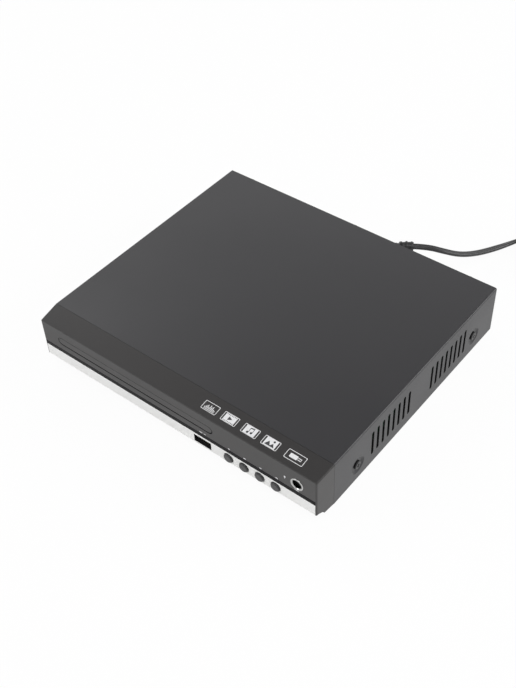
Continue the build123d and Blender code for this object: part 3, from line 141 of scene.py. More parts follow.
def finish(name, colour, rough, metal=0.0, patch=30.0, spread=0.10, grain=1500.0, depth=0.02,
           stretch=(1, 1, 1), gloss=0.5, coat=0.0, rough_spread=0.05, spangle=False):
    """A finish with broad patches of colour and roughness and a fine grain in its relief, depth in mm."""
    material = bpy.data.materials.new(name)
    material.use_nodes = True
    tree = material.node_tree
    shader = tree.nodes["Principled BSDF"]
    shader.inputs["Metallic"].default_value = metal
    shader.inputs["Specular IOR Level"].default_value = gloss
    shader.inputs["Coat Weight"].default_value = coat
    shader.inputs["Coat Roughness"].default_value = 0.06
    place = tree.nodes.new("ShaderNodeTexCoord").outputs["Object"]
    if stretch != (1, 1, 1):
        mapping = tree.nodes.new("ShaderNodeMapping")
        mapping.inputs["Scale"].default_value = stretch
        tree.links.new(place, mapping.inputs["Vector"])
        place = mapping.outputs["Vector"]
    broad = link_spangle(tree, place, patch) if spangle else link_noise(tree, place, patch, 3.0)
    fine = link_noise(tree, place, grain, 2.0)
    patches = link_range(tree, broad, 0.0, 1.0)
    mixed = link_mix(tree, patches, shade(colour, -spread), shade(colour, spread))
    tree.links.new(mixed, shader.inputs["Base Color"])
    roughness = link_range(tree, broad, rough + rough_spread, rough - rough_spread)
    tree.links.new(roughness, shader.inputs["Roughness"])
    bump = tree.nodes.new("ShaderNodeBump")
    bump.inputs["Strength"].default_value = 0.5
    bump.inputs["Distance"].default_value = depth * mm
    tree.links.new(fine, bump.inputs["Height"])
    tree.links.new(bump.outputs["Normal"], shader.inputs["Normal"])
    return material


def split_finish(material, axis, limit, colour, above=True):
    """Gives what lies past a limit along an axis a colour of its own."""
    tree = material.node_tree
    shader = tree.nodes["Principled BSDF"]
    before = shader.inputs["Base Color"].links[0].from_socket
    parts = tree.nodes.new("ShaderNodeSeparateXYZ")
    place = [n for n in tree.nodes if n.type == "TEX_COORD"][0].outputs["Object"]
    tree.links.new(place, parts.inputs["Vector"])
    past = tree.nodes.new("ShaderNodeMath")
    past.operation = "GREATER_THAN" if above else "LESS_THAN"
    past.inputs[1].default_value = limit
    tree.links.new(parts.outputs[axis], past.inputs[0])
    tree.links.new(link_mix(tree, past.outputs["Value"], before, colour), shader.inputs["Base Color"])


finish_values = {
    "cover_paint": dict(colour=(0.0225, 0.022, 0.0245), rough=0.42, patch=9.0, spread=0.04, grain=1700.0,
                        depth=0.012),
    "bezel_plastic": dict(colour=(0.026, 0.0243, 0.0243), rough=0.42, patch=12.0, spread=0.04,
                          grain=2600.0, depth=0.008),
    "window_smoke": dict(colour=(0.006, 0.006, 0.007), rough=0.22, patch=60.0, grain=900.0, depth=0.002,
                         gloss=0.05, rough_spread=0.04),
    "trim_silver": dict(colour=(0.87, 0.87, 0.86), rough=0.34, patch=20.0, spread=0.02, grain=3200.0,
                        depth=0.006),
    "button_black": dict(colour=(0.020, 0.020, 0.021), rough=0.30, patch=300.0, spread=0.15,
                         grain=2600.0, depth=0.008),
    "pan_steel": dict(colour=(0.58, 0.59, 0.59), rough=0.34, metal=1.0, patch=330.0, spread=0.05,
                      grain=900.0, depth=0.006, rough_spread=0.05, spangle=True),
    "foot_rubber": dict(colour=(0.030, 0.030, 0.030), rough=0.78, patch=200.0, spread=0.2, grain=2400.0,
                        depth=0.03),
    "screw_black": dict(colour=(0.009, 0.009, 0.010), rough=0.26, patch=500.0, spread=0.25, grain=2400.0,
                        depth=0.006, gloss=0.3),
    "screw_zinc": dict(colour=(0.66, 0.66, 0.62), rough=0.28, metal=1.0, patch=500.0, spread=0.1,
                       grain=2400.0, depth=0.006),
    "nickel": dict(colour=(0.82, 0.81, 0.78), rough=0.14, metal=1.0, patch=300.0, spread=0.05,
                   grain=1500.0, depth=0.003, rough_spread=0.04),
    # Painted shade: a darker copy of the bright plating that dulls the ring's reflections
    "jack_plating_painted_shade": dict(colour=(0.46, 0.46, 0.455), rough=0.10, metal=1.0, patch=300.0, spread=0.05,
                        grain=1500.0, depth=0.002, rough_spread=0.03),
    "board_green": dict(colour=(0.014, 0.075, 0.034), rough=0.36, patch=260.0, spread=0.25, grain=1100.0,
                        depth=0.02),
    "part_black": dict(colour=(0.020, 0.020, 0.022), rough=0.46, patch=180.0, spread=0.2, grain=2600.0,
                       depth=0.01),
    "receiver_dark": dict(colour=(0.030, 0.010, 0.014), rough=0.12, patch=400.0, coat=0.5, depth=0.003),
    "tray_black": dict(colour=(0.032, 0.032, 0.034), rough=0.52, patch=40.0, spread=0.08, grain=2600.0,
                       depth=0.02),
    "frame_black": dict(colour=(0.042, 0.042, 0.046), rough=0.55, patch=50.0, spread=0.1, grain=2000.0,
                        depth=0.02),
    "gear_white": dict(colour=(0.74, 0.74, 0.69), rough=0.42, patch=200.0, spread=0.04, grain=2400.0,
                       depth=0.006),
    "belt_rubber": dict(colour=(0.016, 0.016, 0.016), rough=0.70, patch=400.0, spread=0.2, grain=3000.0,
                        depth=0.02),
    "motor_steel": dict(colour=(0.52, 0.52, 0.51), rough=0.30, metal=1.0, patch=200.0, spread=0.08,
                        grain=1500.0, depth=0.004),
    "traverse_metal": dict(colour=(0.58, 0.58, 0.57), rough=0.34, metal=1.0, patch=180.0, spread=0.10,
                           grain=1200.0, depth=0.006, stretch=(6, 1, 1)),
    "rod_steel": dict(colour=(0.74, 0.74, 0.74), rough=0.12, metal=1.0, patch=300.0, spread=0.04,
                      grain=1800.0, depth=0.002, stretch=(8, 1, 8), rough_spread=0.03),
    "sled_plastic": dict(colour=(0.058, 0.058, 0.062), rough=0.50, patch=200.0, spread=0.14,
                         grain=1800.0, depth=0.02),
    "lens_glass": dict(colour=(0.06, 0.08, 0.20), rough=0.04, patch=600.0, spread=0.3, coat=1.0,
                       depth=0.001, rough_spread=0.02),
    "sink_alloy": dict(colour=(0.72, 0.73, 0.74), rough=0.30, metal=1.0, patch=300.0, spread=0.08,
                       grain=1500.0, depth=0.008, stretch=(1, 8, 8)),
    "core_ferrite": dict(colour=(0.060, 0.050, 0.045), rough=0.55, patch=240.0, spread=0.2, grain=1500.0,
                         depth=0.02),
    "capacitor_sleeve": dict(colour=(0.035, 0.045, 0.115), rough=0.24, patch=300.0, spread=0.15,
                             depth=0.006),
    "socket_black": dict(colour=(0.020, 0.020, 0.020), rough=0.50, patch=200.0, spread=0.2, grain=2600.0,
                         depth=0.012),
    "insulator_colour": dict(colour=(0.72, 0.50, 0.03), rough=0.38, patch=300.0, spread=0.05,
                             grain=2600.0, depth=0.008),
    "ribbon_white": dict(colour=(0.76, 0.76, 0.73), rough=0.40, patch=120.0, spread=0.05, grain=1250.0,
                         depth=0.03, stretch=(0.02, 1, 0.02)),
    "wire_brown": dict(colour=(0.120, 0.050, 0.028), rough=0.42, patch=300.0, spread=0.12, grain=2400.0,
                       depth=0.01),
    "cord_black": dict(colour=(0.021, 0.021, 0.022), rough=0.40, patch=220.0, spread=0.15, grain=2600.0,
                       depth=0.012),
    "tie_black": dict(colour=(0.028, 0.028, 0.029), rough=0.66, patch=300.0, spread=0.2, grain=3200.0,
                      depth=0.04),
    "pin_metal": dict(colour=(0.78, 0.76, 0.70), rough=0.20, metal=1.0, patch=400.0, spread=0.05,
                      grain=1800.0, depth=0.003),
    # Painted shade: near-black sheets set in holes, slots and gaps where there is only shade
    "painted_shade_black": dict(colour=(0.006, 0.006, 0.006), rough=0.60, patch=400.0, spread=0.2, grain=2600.0,
                       depth=0.006, gloss=0.2),
    "contact_gold": dict(colour=(0.80, 0.58, 0.24), rough=0.22, metal=1.0, patch=500.0, spread=0.08,
                         depth=0.003),
    "white_ink": dict(colour=(0.76, 0.76, 0.77), rough=0.55, patch=900.0, spread=0.05, grain=3000.0,
                      depth=0.004),
    "dark_ink": dict(colour=(0.050, 0.050, 0.053), rough=0.50, patch=900.0, spread=0.06, grain=3000.0,
                     depth=0.004),
}
finishes = {name: finish(name, **values) for name, values in finish_values.items()}

# Each socket ring, each wire and the wires' terminal block has a colour of its own
split_finish(finishes["insulator_colour"], "X", -0.057, (0.70, 0.70, 0.68, 1.0), above=False)
split_finish(finishes["insulator_colour"], "X", -0.071, (0.50, 0.02, 0.02, 1.0), above=False)
split_finish(finishes["wire_brown"], "Z", 0.0274, (0.02, 0.05, 0.20, 1.0), above=False)
split_finish(finishes["wire_brown"], "X", 0.0489, (0.03, 0.16, 0.07, 1.0))

node_finishes = {
    "cover_paint": ["top_cover"],
    "bezel_plastic": ["front_bezel", "tray_door"],
    "window_smoke": ["smoked_window"],
    "trim_silver": ["front_trim_strip"],
    "button_black": ["power_button", "play_button", "stop_button", "eject_button"],
    "pan_steel": ["bottom_chassis", "clamp_bridge"],
    "foot_rubber": ["rubber_feet"],
    "screw_black": ["side_screws", "rear_screws"],
    "screw_zinc": ["loader_screws", "board_screws"],
    "nickel": ["usb_socket", "rca_sleeves", "hdmi_socket"],
    "jack_plating_painted_shade": ["mic_jack_bushing"],
    "board_green": ["front_board", "main_board", "power_board", "av_board"],
    "part_black": ["tact_switches", "usb_tongue", "clamp_puck", "turntable"],
    "receiver_dark": ["remote_receiver"],
    "tray_black": ["disc_tray"],
    "frame_black": ["loader_frame"],
    "gear_white": ["drive_gear", "pulley_gear", "motor_pulley", "cam_slider"],
    "belt_rubber": ["drive_belt"],
    "motor_steel": ["loading_motor", "spindle_motor", "sled_motor"],
    "traverse_metal": ["traverse_plate"],
    "rod_steel": ["guide_rods", "lead_screw"],
    "sled_plastic": ["pickup_body"],
    "lens_glass": ["objective_lens"],
    "sink_alloy": ["decoder_heat_sink"],
    "core_ferrite": ["power_transformer"],
    "capacitor_sleeve": ["capacitors"],
    "socket_black": ["mic_jack_body", "rca_block"],
    "insulator_colour": ["rca_insulators"],
    "ribbon_white": ["ribbon_cable"],
    "wire_brown": ["mains_wires"],
    "cord_black": ["strain_relief", "mains_plug"],
    "pin_metal": ["plug_pins"],
}


def dress_nodes():
    """Gives every node of the frame its finish."""
    for name, nodes in node_finishes.items():
        for node in nodes:
            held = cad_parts[node]
            if not held.material_slots:
                held.data.materials.append(finishes[name])
            for place in held.material_slots:
                place.material = finishes[name]


# Meshes

def new_piece(name, mesh_maker, finish_name, body):
    """A piece from a filled bmesh, at the origin, riding on a body."""
    made = bmesh.new()
    mesh_maker(made)
    bmesh.ops.recalc_face_normals(made, faces=made.faces)
    mesh = bpy.data.meshes.new(name)
    made.to_mesh(mesh)
    made.free()
    mesh.materials.append(finishes[finish_name])
    piece = bpy.data.objects.new(name, mesh)
    scene.collection.objects.link(piece)
    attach(piece, body)
    return piece


def add_plate(made, outline, low, high, placed):
    """A flat plate: an outline of (u, v) points between two heights, placed by a function of all three."""
    under = [made.verts.new(placed(u, v, low)) for u, v in outline]
    over = [made.verts.new(placed(u, v, high)) for u, v in outline]
    made.faces.new(over)
    made.faces.new(list(reversed(under)))
    count = len(outline)
    for index in range(count):
        after = (index + 1) % count
        made.faces.new([under[index], under[after], over[after], over[index]])


def add_ring(made, outer, inner, low, high, placed):
    """A flat ring between two outlines with the same number of points."""
    loops = [[made.verts.new(placed(u, v, h)) for u, v in outline]
             for outline, h in ((outer, low), (outer, high), (inner, high), (inner, low))]
    count = len(outer)
    for index in range(count):
        after = (index + 1) % count
        for here, there in zip(loops, loops[1:] + loops[:1]):
            made.faces.new([here[index], here[after], there[after], there[index]])


def rectangle(u, v, width, height):
    return [(u - width / 2, v - height / 2), (u + width / 2, v - height / 2),
            (u + width / 2, v + height / 2), (u - width / 2, v + height / 2)]


def rounded(u, v, width, height, radius, steps=5):
    """A rectangle with round corners."""
    points = []
    for corner, (x, y) in enumerate(((1, -1), (1, 1), (-1, 1), (-1, -1))):
        for step in range(steps + 1):
            angle = (corner - 1 + step / steps) * pi / 2
            points.append((u + x * (width / 2 - radius) + radius * cos(angle),
                           v + y * (height / 2 - radius) + radius * sin(angle)))
    return points


def circle(u, v, radius, steps=20):
    angles = [2 * pi * k / steps for k in range(steps)]
    return [(u + radius * cos(a), v + radius * sin(a)) for a in angles]


# Rows of like parts

def row_tree(name, finish_name, count, first, step):
    """A node tree that sets copies of a shape in a row, the socket for the shape, and the tree's values."""
    tree = bpy.data.node_groups.new(name, "GeometryNodeTree")
    inputs = {"Count": "NodeSocketInt", "First Place": "NodeSocketVector", "Step": "NodeSocketVector"}
    for label, kind in inputs.items():
        tree.interface.new_socket(label, in_out="INPUT", socket_type=kind)
    tree.interface.new_socket("Geometry", in_out="OUTPUT", socket_type="NodeSocketGeometry")
    start = tree.nodes.new("NodeGroupInput")
    end = tree.nodes.new("NodeGroupOutput")
    row = tree.nodes.new("GeometryNodeMeshLine")
    row.mode = "OFFSET"
    tree.links.new(start.outputs["Count"], row.inputs["Count"])
    tree.links.new(start.outputs["First Place"], row.inputs["Start Location"])
    tree.links.new(start.outputs["Step"], row.inputs["Offset"])
    copies = tree.nodes.new("GeometryNodeInstanceOnPoints")
    tree.links.new(row.outputs["Mesh"], copies.inputs["Points"])
    plain = tree.nodes.new("GeometryNodeRealizeInstances")
    tree.links.new(copies.outputs["Instances"], plain.inputs["Geometry"])
    dressed = tree.nodes.new("GeometryNodeSetMaterial")
    dressed.inputs["Material"].default_value = finishes[finish_name]
    tree.links.new(plain.outputs["Geometry"], dressed.inputs["Geometry"])
    tree.links.new(dressed.outputs["Geometry"], end.inputs["Geometry"])
    values = {"Count": count, "First Place": first, "Step": step}
    return tree, copies.inputs["Instance"], values


def add_size(tree, values, label, kind, value):
    """A named size of the tree; returns the output that carries it."""
    tree.interface.new_socket(label, in_out="INPUT", socket_type=kind)
    values[label] = value
    return [n for n in tree.nodes if n.type == "GROUP_INPUT"][0].outputs[label]


def row_piece(name, tree, values, body):
    """The plain mesh that a tree makes, riding on a body."""
    piece = bpy.data.objects.new(name, bpy.data.meshes.new(name))
    scene.collection.objects.link(piece)
    row = piece.modifiers.new("row", "NODES")
    row.node_group = tree
    for item in tree.interface.items_tree:
        if item.in_out == "INPUT":
            row[item.identifier] = values[item.name]
    found = piece.evaluated_get(bpy.context.evaluated_depsgraph_get())
    mesh = bpy.data.meshes.new_from_object(found)
    piece.modifiers.clear()
    piece.data = mesh
    mesh.name = name
    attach(piece, body)


def button_hole_shade():
    """Painted shade: near-black sheets in the strip's holes round the four buttons."""
    middle_y = (front_y + seat_y) / 2 + 0.1 * mm
    first = (first_button_x, middle_y, strip_mid_z)
    step = (button_pitch, 0.0, 0.0)
    tree, shape, values = row_tree("button_hole_shade", "painted_shade_black", button_count, first, step)
    ring = tree.nodes.new("GeometryNodeCurvePrimitiveCircle")
    ring.inputs["Resolution"].default_value = 48
    tree.links.new(add_size(tree, values, "Well Radius", "NodeSocketFloat", 0.003645), ring.inputs["Radius"])
    wall = tree.nodes.new("GeometryNodeCurvePrimitiveQuadrilateral")
    tree.links.new(add_size(tree, values, "Shade Thickness", "NodeSocketFloat", 0.0001), wall.inputs["Width"])
    tree.links.new(add_size(tree, values, "Depth", "NodeSocketFloat", 0.0018), wall.inputs["Height"])
    shade_thickness = tree.nodes.new("GeometryNodeCurveToMesh")
    tree.links.new(ring.outputs["Curve"], shade_thickness.inputs["Curve"])
    tree.links.new(wall.outputs["Curve"], shade_thickness.inputs["Profile Curve"])
    turned = tree.nodes.new("GeometryNodeTransform")
    turned.inputs["Rotation"].default_value = (pi / 2, 0.0, 0.0)
    tree.links.new(shade_thickness.outputs["Mesh"], turned.inputs["Geometry"])
    tree.links.new(turned.outputs["Geometry"], shape)
    row_piece("button_hole_shade", tree, values, "chassis")


def vent_slot_shade():
    """Painted shade: near-black sheets on the cut edges of the cover's vent slots, two groups on each side.
    """
    shade_thickness, sheet, edge = 0.1 * mm, 0.74 * mm, 0.02 * mm
    middle_y = seam_y + (vent_starts[0] + vent_starts[1]) / 2
    step = (0.0, vent_pitch, 0.0)
    tree, shape, values = row_tree("vent_slot_shade", "painted_shade_black", vent_count, (0.0, 0.0, 0.0), step)
    points = shape.node.inputs["Points"]
    line = points.links[0].from_socket
    groups = tree.nodes.new("GeometryNodeMeshGrid")
    for label in ("Vertices X", "Vertices Y"):
        groups.inputs[label].default_value = 2
    apart_x = add_size(tree, values, "Side To Side", "NodeSocketFloat", 2 * side_x - sheet - 2 * edge)
    apart_y = add_size(tree, values, "Group To Group", "NodeSocketFloat", vent_starts[1] - vent_starts[0])
    tree.links.new(apart_x, groups.inputs["Size X"])
    tree.links.new(apart_y, groups.inputs["Size Y"])
    moved = tree.nodes.new("GeometryNodeTransform")
    tree.links.new(add_size(tree, values, "Middle", "NodeSocketVector", (0.0, middle_y, vent_mid_z)),
                   moved.inputs["Translation"])
    tree.links.new(groups.outputs["Mesh"], moved.inputs["Geometry"])
    rows = tree.nodes.new("GeometryNodeInstanceOnPoints")
    tree.links.new(moved.outputs["Geometry"], rows.inputs["Points"])
    tree.links.new(line, rows.inputs["Instance"])
    spots = tree.nodes.new("GeometryNodeRealizeInstances")
    tree.links.new(rows.outputs["Instances"], spots.inputs["Geometry"])
    tree.links.new(spots.outputs["Geometry"], points)
    slot = tree.nodes.new("GeometryNodeCurvePrimitiveQuadrilateral")
    inset = shade_thickness + 2 * edge
    slot_height = add_size(tree, values, "Slot Height", "NodeSocketFloat", vent_height - inset)
    slot_width = add_size(tree, values, "Slot Width", "NodeSocketFloat", vent_width - inset)
    tree.links.new(slot_height, slot.inputs["Width"])
    tree.links.new(slot_width, slot.inputs["Height"])
    round_ends = tree.nodes.new("GeometryNodeFilletCurve")
    round_ends.mode = "POLY"
    round_ends.inputs["Count"].default_value = 6
    half_width = (vent_width - inset) / 2
    end_radius = add_size(tree, values, "End Radius", "NodeSocketFloat", half_width - 0.01 * mm)
    tree.links.new(end_radius, round_ends.inputs["Radius"])
    tree.links.new(slot.outputs["Curve"], round_ends.inputs["Curve"])
    wall = tree.nodes.new("GeometryNodeCurvePrimitiveQuadrilateral")
    tree.links.new(add_size(tree, values, "Shade Thickness", "NodeSocketFloat", shade_thickness), wall.inputs["Width"])
    tree.links.new(add_size(tree, values, "Sheet", "NodeSocketFloat", sheet), wall.inputs["Height"])
    ring = tree.nodes.new("GeometryNodeCurveToMesh")
    tree.links.new(round_ends.outputs["Curve"], ring.inputs["Curve"])
    tree.links.new(wall.outputs["Curve"], ring.inputs["Profile Curve"])
    turned = tree.nodes.new("GeometryNodeTransform")
    turned.inputs["Rotation"].default_value = (0.0, pi / 2, 0.0)
    tree.links.new(ring.outputs["Mesh"], turned.inputs["Geometry"])
    tree.links.new(turned.outputs["Geometry"], shape)
    row_piece("vent_slot_shade", tree, values, "chassis")


def contact_row(name, count, middle, pitch, size):
    """Gold contact strips in a row along x about a middle, each of one size."""
    x, y, z = middle
    first = (x - pitch * (count - 1) / 2, y, z)
    tree, shape, values = row_tree(name, "contact_gold", count, first, (pitch, 0.0, 0.0))
    strip = tree.nodes.new("GeometryNodeMeshCube")
    tree.links.new(add_size(tree, values, "Contact Size", "NodeSocketVector", size), strip.inputs["Size"])
    tree.links.new(strip.outputs["Mesh"], shape)
    row_piece(name, tree, values, "chassis")


def usb_hole_shade(made):
    """Painted shade: a near-black sheet on the walls of the strip's opening for the USB socket."""
    def placed(u, v, along):
        return (usb_x + u, along, strip_mid_z + v)

    def outline(inset):
        return rectangle(0, 0, usb_opening_width - 2 * inset, usb_opening_height - 2 * inset)

    add_ring(made, outline(0.01 * mm), outline(0.12 * mm), front_y + 0.1 * mm, seat_y, placed)


def door_gap_shade(made):
    """Painted shade: a near-black sheet in the bezel's opening round the tray door, and a painted shadow as a
    fine edge on the face that is widest below.
    """
    def placed(u, v, along):
        return (door_x + u, along, door_mid_z + v)

    def outline(grown, drop=0.0):
        height = door_opening_height + 2 * grown
        return rounded(0, -drop, door_opening_width + 2 * grown, height, height / 2, 12)

    opening = outline(-0.01 * mm)
    add_ring(made, opening, outline(-0.09 * mm), front_y - 0.01 * mm, front_y + 1.8 * mm, placed)
    # Painted shadow under the tray door: a near-black edge on the face round the opening, dropped so that it
    # is widest below
    edge = 0.12 * mm
    add_ring(made, outline(edge, drop=edge), opening, front_y - 0.02 * mm, front_y + 0.03 * mm, placed)


def hdmi_tongue(made):
    """The dark contact carrier in the HDMI socket."""
    def placed(u, v, along):
        return (hdmi_x + u, along, hdmi_mid_z + v)

    root_y, tip_y = 0.0863, 0.09426
    add_plate(made, rounded(0, 0, tongue_width, tongue_thickness, 0.3 * mm), root_y, tip_y, placed)


# Mains cord

cord_width = 0.0048
strand_radius = 0.0015
strand_offset = 0.0009
cord_route = [
    (0.037398, 0.114122, 0.0274),
    (0.045878, 0.119422, 0.0274),
    (0.0552, 0.12615, 0.0236),
    (0.0626, 0.13545, 0.0178),
    (0.0682, 0.14975, 0.0116),
    (0.0730, 0.16625, 0.0066),
    (0.0788, 0.18345, 0.0035),
    (0.085661, 0.199655, 0.0031),
    (0.0920, 0.21325, 0.0031),
]
coil_bearing = radians(25)
coil_forward = Vector((sin(coil_bearing), cos(coil_bearing), 0.0))
coil_right = Vector((cos(coil_bearing), -sin(coil_bearing), 0.0))
coil_start = Vector(cord_route[-1]).xy.to_3d() + coil_forward * cord_width
coil_pitch = 0.0055
coil_low = cord_route[-1][2]
coil_high = 0.0085
inward_middle = 0.038375
climb_middle = 0.0370
climb_radius = 0.0205
outward_middle = 0.035625
outward_radius = 0.021875
tail_radius = 0.030
tail_turn = pi / 3
# The cord turns onto its edge over the first stretch, from its start, and flat over the second, from its end
edge_from, edge_to = 0.065, 0.125
flat_from, flat_to = 0.042, 0.006
points_per_half_turn = 8
half_turns = 6
# Points that steer a smooth line round a circle lie this much outside it
outside = 1.0 / (0.75 + 0.25 * cos(pi / points_per_half_turn))


def coil_points():
    """Turns that wind inwards on the floor, climb, and wind outwards on top."""
    points = []
    for step in range(half_turns * points_per_half_turn):
        turned = pi * (step + 0.5) / points_per_half_turn
        radius = inward_middle - coil_pitch * turned / (2 * pi)
        points.append(coil_point(inward_middle, radius, turned, coil_low))
    for step in range(points_per_half_turn):
        share = (step + 0.5) / points_per_half_turn
        height = coil_low + (coil_high - coil_low) * share
        points.append(coil_point(climb_middle, climb_radius, pi * share, height))
    for step in range(half_turns * points_per_half_turn):
        turned = pi * (step + 0.5) / points_per_half_turn
        radius = outward_radius + coil_pitch * turned / (2 * pi)
        points.append(coil_point(outward_middle, radius, pi + turned, coil_high))
    return points


def coil_point(middle, radius, turned, height):
    away = radius * outside
    flat = coil_start + coil_right * (middle - away * cos(turned)) + coil_forward * (away * sin(turned))
    return (flat.x, flat.y, height)


def tail_points():
    """The end of the cord, turned away from the coil, up to the plug."""
    end = coil_start + coil_right * 2 * climb_middle
    start = end - coil_forward * 0.004
    corner = end - coil_forward * tail_radius * tan(tail_turn / 2)
    leave = coil_right * sin(tail_turn) - coil_forward * cos(tail_turn)
    turned = end + (coil_right * (1 - cos(tail_turn)) - coil_forward * sin(tail_turn)) * tail_radius
    tip = turned + leave * (cord_width + 0.004)
    return [(p.x, p.y, coil_high) for p in (start, corner, corner + leave * 0.014, tip)]


def smooth_line(points):
    """The points of one smooth line that these points steer."""
    curve = bpy.data.curves.new("cord_line", "CURVE")
    curve.dimensions = "3D"
    curve.resolution_u = 5
    spline = curve.splines.new("NURBS")
    spline.points.add(len(points) - 1)
    for point, place in zip(spline.points, points):
        point.co = (*place, 1.0)
    spline.order_u = 3
    spline.use_endpoint_u = True
    line = bpy.data.objects.new("cord_line", curve)
    scene.collection.objects.link(line)
    mesh = bpy.data.meshes.new_from_object(line)
    found = [vertex.co.copy() for vertex in mesh.vertices]
    bpy.data.objects.remove(line)
    bpy.data.meshes.remove(mesh)
    bpy.data.curves.remove(curve)
    return found


def twin_section():
    """Two round strands side by side, as (across, up) points."""
    meet = pi - atan2((strand_radius ** 2 - strand_offset ** 2) ** 0.5, strand_offset)
    steps = 10
    angles = [-meet + 2 * meet * step / steps for step in range(steps + 1)]
    right = [(strand_offset + strand_radius * cos(a), strand_radius * sin(a)) for a in angles]
    left = [(-across, -up) for across, up in right]
    return right[:-1] + left[:-1]


def smooth_step(value, start, end):
    share = min(1.0, max(0.0, (value - start) / (end - start)))
    return share * share * (3 - 2 * share)


def mains_cord():
    """The flat twin cord: flat where it leaves the casing, on edge in the coil, flat again at the plug."""
    line = smooth_line(cord_route + coil_points() + tail_points())
    run = [0.0]
    for before, here in zip(line, line[1:]):
        run.append(run[-1] + (here - before).length)
    whole = run[-1]
    section = twin_section()

    def fill(made):
        rings = []
        for index, point in enumerate(line):
            along = line[min(index + 1, len(line) - 1)] - line[max(index - 1, 0)]
            along.normalize()
            side = along.cross(Vector((0, 0, 1))).normalized()
            up = side.cross(along)
            rising = smooth_step(run[index], edge_from, edge_to)
            falling = smooth_step(run[index], whole - flat_from, whole - flat_to)
            roll = pi / 2 * (rising - falling)
            across = side * cos(roll) + up * sin(roll)
            upward = up * cos(roll) - side * sin(roll)
            rings.append([made.verts.new(point + across * a + upward * b) for a, b in section])
        count = len(section)
        for here, there in zip(rings, rings[1:]):
            for k in range(count):
                after = (k + 1) % count
                made.faces.new([here[k], here[after], there[after], there[k]]).smooth = True
        made.faces.new(rings[0])
        made.faces.new(list(reversed(rings[-1])))
        grooves = (0, count // 2)
        for here, there in zip(rings, rings[1:]):
            for k in grooves:
                made.edges.get((here[k], there[k])).smooth = False

    cord = new_piece("mains_cord", fill, "cord_black", "chassis")
    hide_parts("power_cord", "cord_coil")
    tie = cord_strap()


def cord_strap():
    """A flat strap round the bundle of turns."""
    middle = coil_start + coil_right * outward_middle
    inner, outer, height, thick, width, bend = 0.01515, 0.04235, 0.0111, 0.0005, 0.009, 0.0016
    across = (inner + outer) / 2
    hollow = rounded(across, (height + thick) / 2, outer - inner, height - thick, bend)
    skin = rounded(across, (height + thick) / 2, outer - inner + 2 * thick, height + thick, bend + thick)

    def placed(u, v, along):
        flat = middle - coil_forward * u + coil_right * along
        return (flat.x, flat.y, v)

    def fill(made):
        add_ring(made, skin, hollow, -width / 2, width / 2, placed)

    strap = new_piece("cord_strap", fill, "tie_black", "chassis")
    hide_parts("cord_tie")
    return strap


# Prints

lip_lean = atan2(top_z - lip_z, seam_y - front_y)
badge_forward = 0.00826


def on_lip(u, v, h):
    """A place on the sloping lip: u to the right, v back from the middle of the badges, h above it, in mm."""
    forward = badge_forward - v * mm
    rise = h * mm
    return (u * mm, seam_y - forward * cos(lip_lean) - rise * sin(lip_lean),
            top_z - forward * sin(lip_lean) + rise * cos(lip_lean))


def on_face(u, v, h):
    """A place on the bezel's front face: u to the right, v up, h out of it, in mm."""
    return (u * mm, front_y - h * mm, v * mm)


badge_places = (28.1, 43.0, 58.4, 73.4, 91.1)
badge_widths = (11.1, 11.0, 11.1, 11.2, 13.1)
badge_height = 6.4
line_width = 0.36
mark_height = 22.3
ink_low = -0.03
ink_high = 0.03
second_ink = 0.045


def white_prints(made):
    """Badge frames with plain pictograms on the lip, and small marks on the front face."""
    def lip(outline):
        add_plate(made, outline, ink_low, ink_high, on_lip)

    def face(outline):
        add_plate(made, outline, ink_low, ink_high, on_face)

    for x, width in zip(badge_places, badge_widths):
        outer = rounded(x, 0, width, badge_height, 0.7)
        inner = rounded(x, 0, width - 2 * line_width, badge_height - 2 * line_width, 0.4)
        add_ring(made, outer, inner, ink_low, ink_high, on_lip)
    for x in badge_places[1:4]:
        lip(rectangle(x, 0, 8.2, badge_height - line_width))
    x = badge_places[0]
    for column, height in enumerate((1.0, 1.9, 2.8, 1.6, 3.2, 2.2, 3.0, 1.4, 0.8)):
        lip(rectangle(x - 3.6 + column * 0.9, -1.7 + height / 2, 0.5, height))
    lip(rectangle(x, -2.2, 7.8, 0.4))
    x = badge_places[4]
    lip(rounded(x - 1.2, 0, 5.4, 2.7, 0.5))
    for v in (-0.62, 0.62):
        lip(rectangle(x + 3.0, v, 2.4, 0.5))
    lip(rectangle(x + 4.1, 0, 0.4, 1.74))
    for u, width in ((46.9, 1.5), (59.0, 1.9), (70.9, 1.5), (82.8, 1.7)):
        face(rounded(u, mark_height, width, 0.75, 0.2))
    face(rounded(25.0, mark_height, 2.6, 0.6, 0.2))
    face(rounded(28.0, mark_height, 1.6, 0.6, 0.2))
    face(rounded(88.7, 28.2, 1.1, 1.7, 0.5))
    face(rectangle(88.7, 26.9, 0.3, 0.7))
    face(rounded(97.2, 22.2, 3.2, 0.45, 0.15))


def dark_prints(made):
    """Dark pictograms on the three filled badges."""
    def lip(outline):
        add_plate(made, outline, 0.0, second_ink, on_lip)

    x = badge_places[1]
    for u in range(-3, 4):
        for v in (-2.3, 2.3):
            lip(rectangle(x + u * 1.1, v, 0.5, 0.6))
    lip([(x - 1.2, -1.4), (x + 1.6, 0.0), (x - 1.2, 1.4)])
    x = badge_places[2]
    lip(circle(x - 1.3, -1.5, 0.75))
    lip(circle(x + 1.2, -1.1, 0.75))
    lip(rectangle(x - 0.72, 0.2, 0.35, 3.4))
    lip(rectangle(x + 1.78, 0.6, 0.35, 3.4))
    lip([(x - 0.9, 1.3), (x + 1.95, 1.75), (x + 1.95, 2.5), (x - 0.9, 2.05)])
    x = badge_places[3]
    lip([(x - 3.4, -2.2), (x + 0.6, -2.2), (x - 1.4, 0.9)])
    lip([(x - 0.2, -2.2), (x + 3.4, -2.2), (x + 1.7, 0.2)])
    lip(circle(x + 1.7, 1.6, 0.7))


# Light and stage

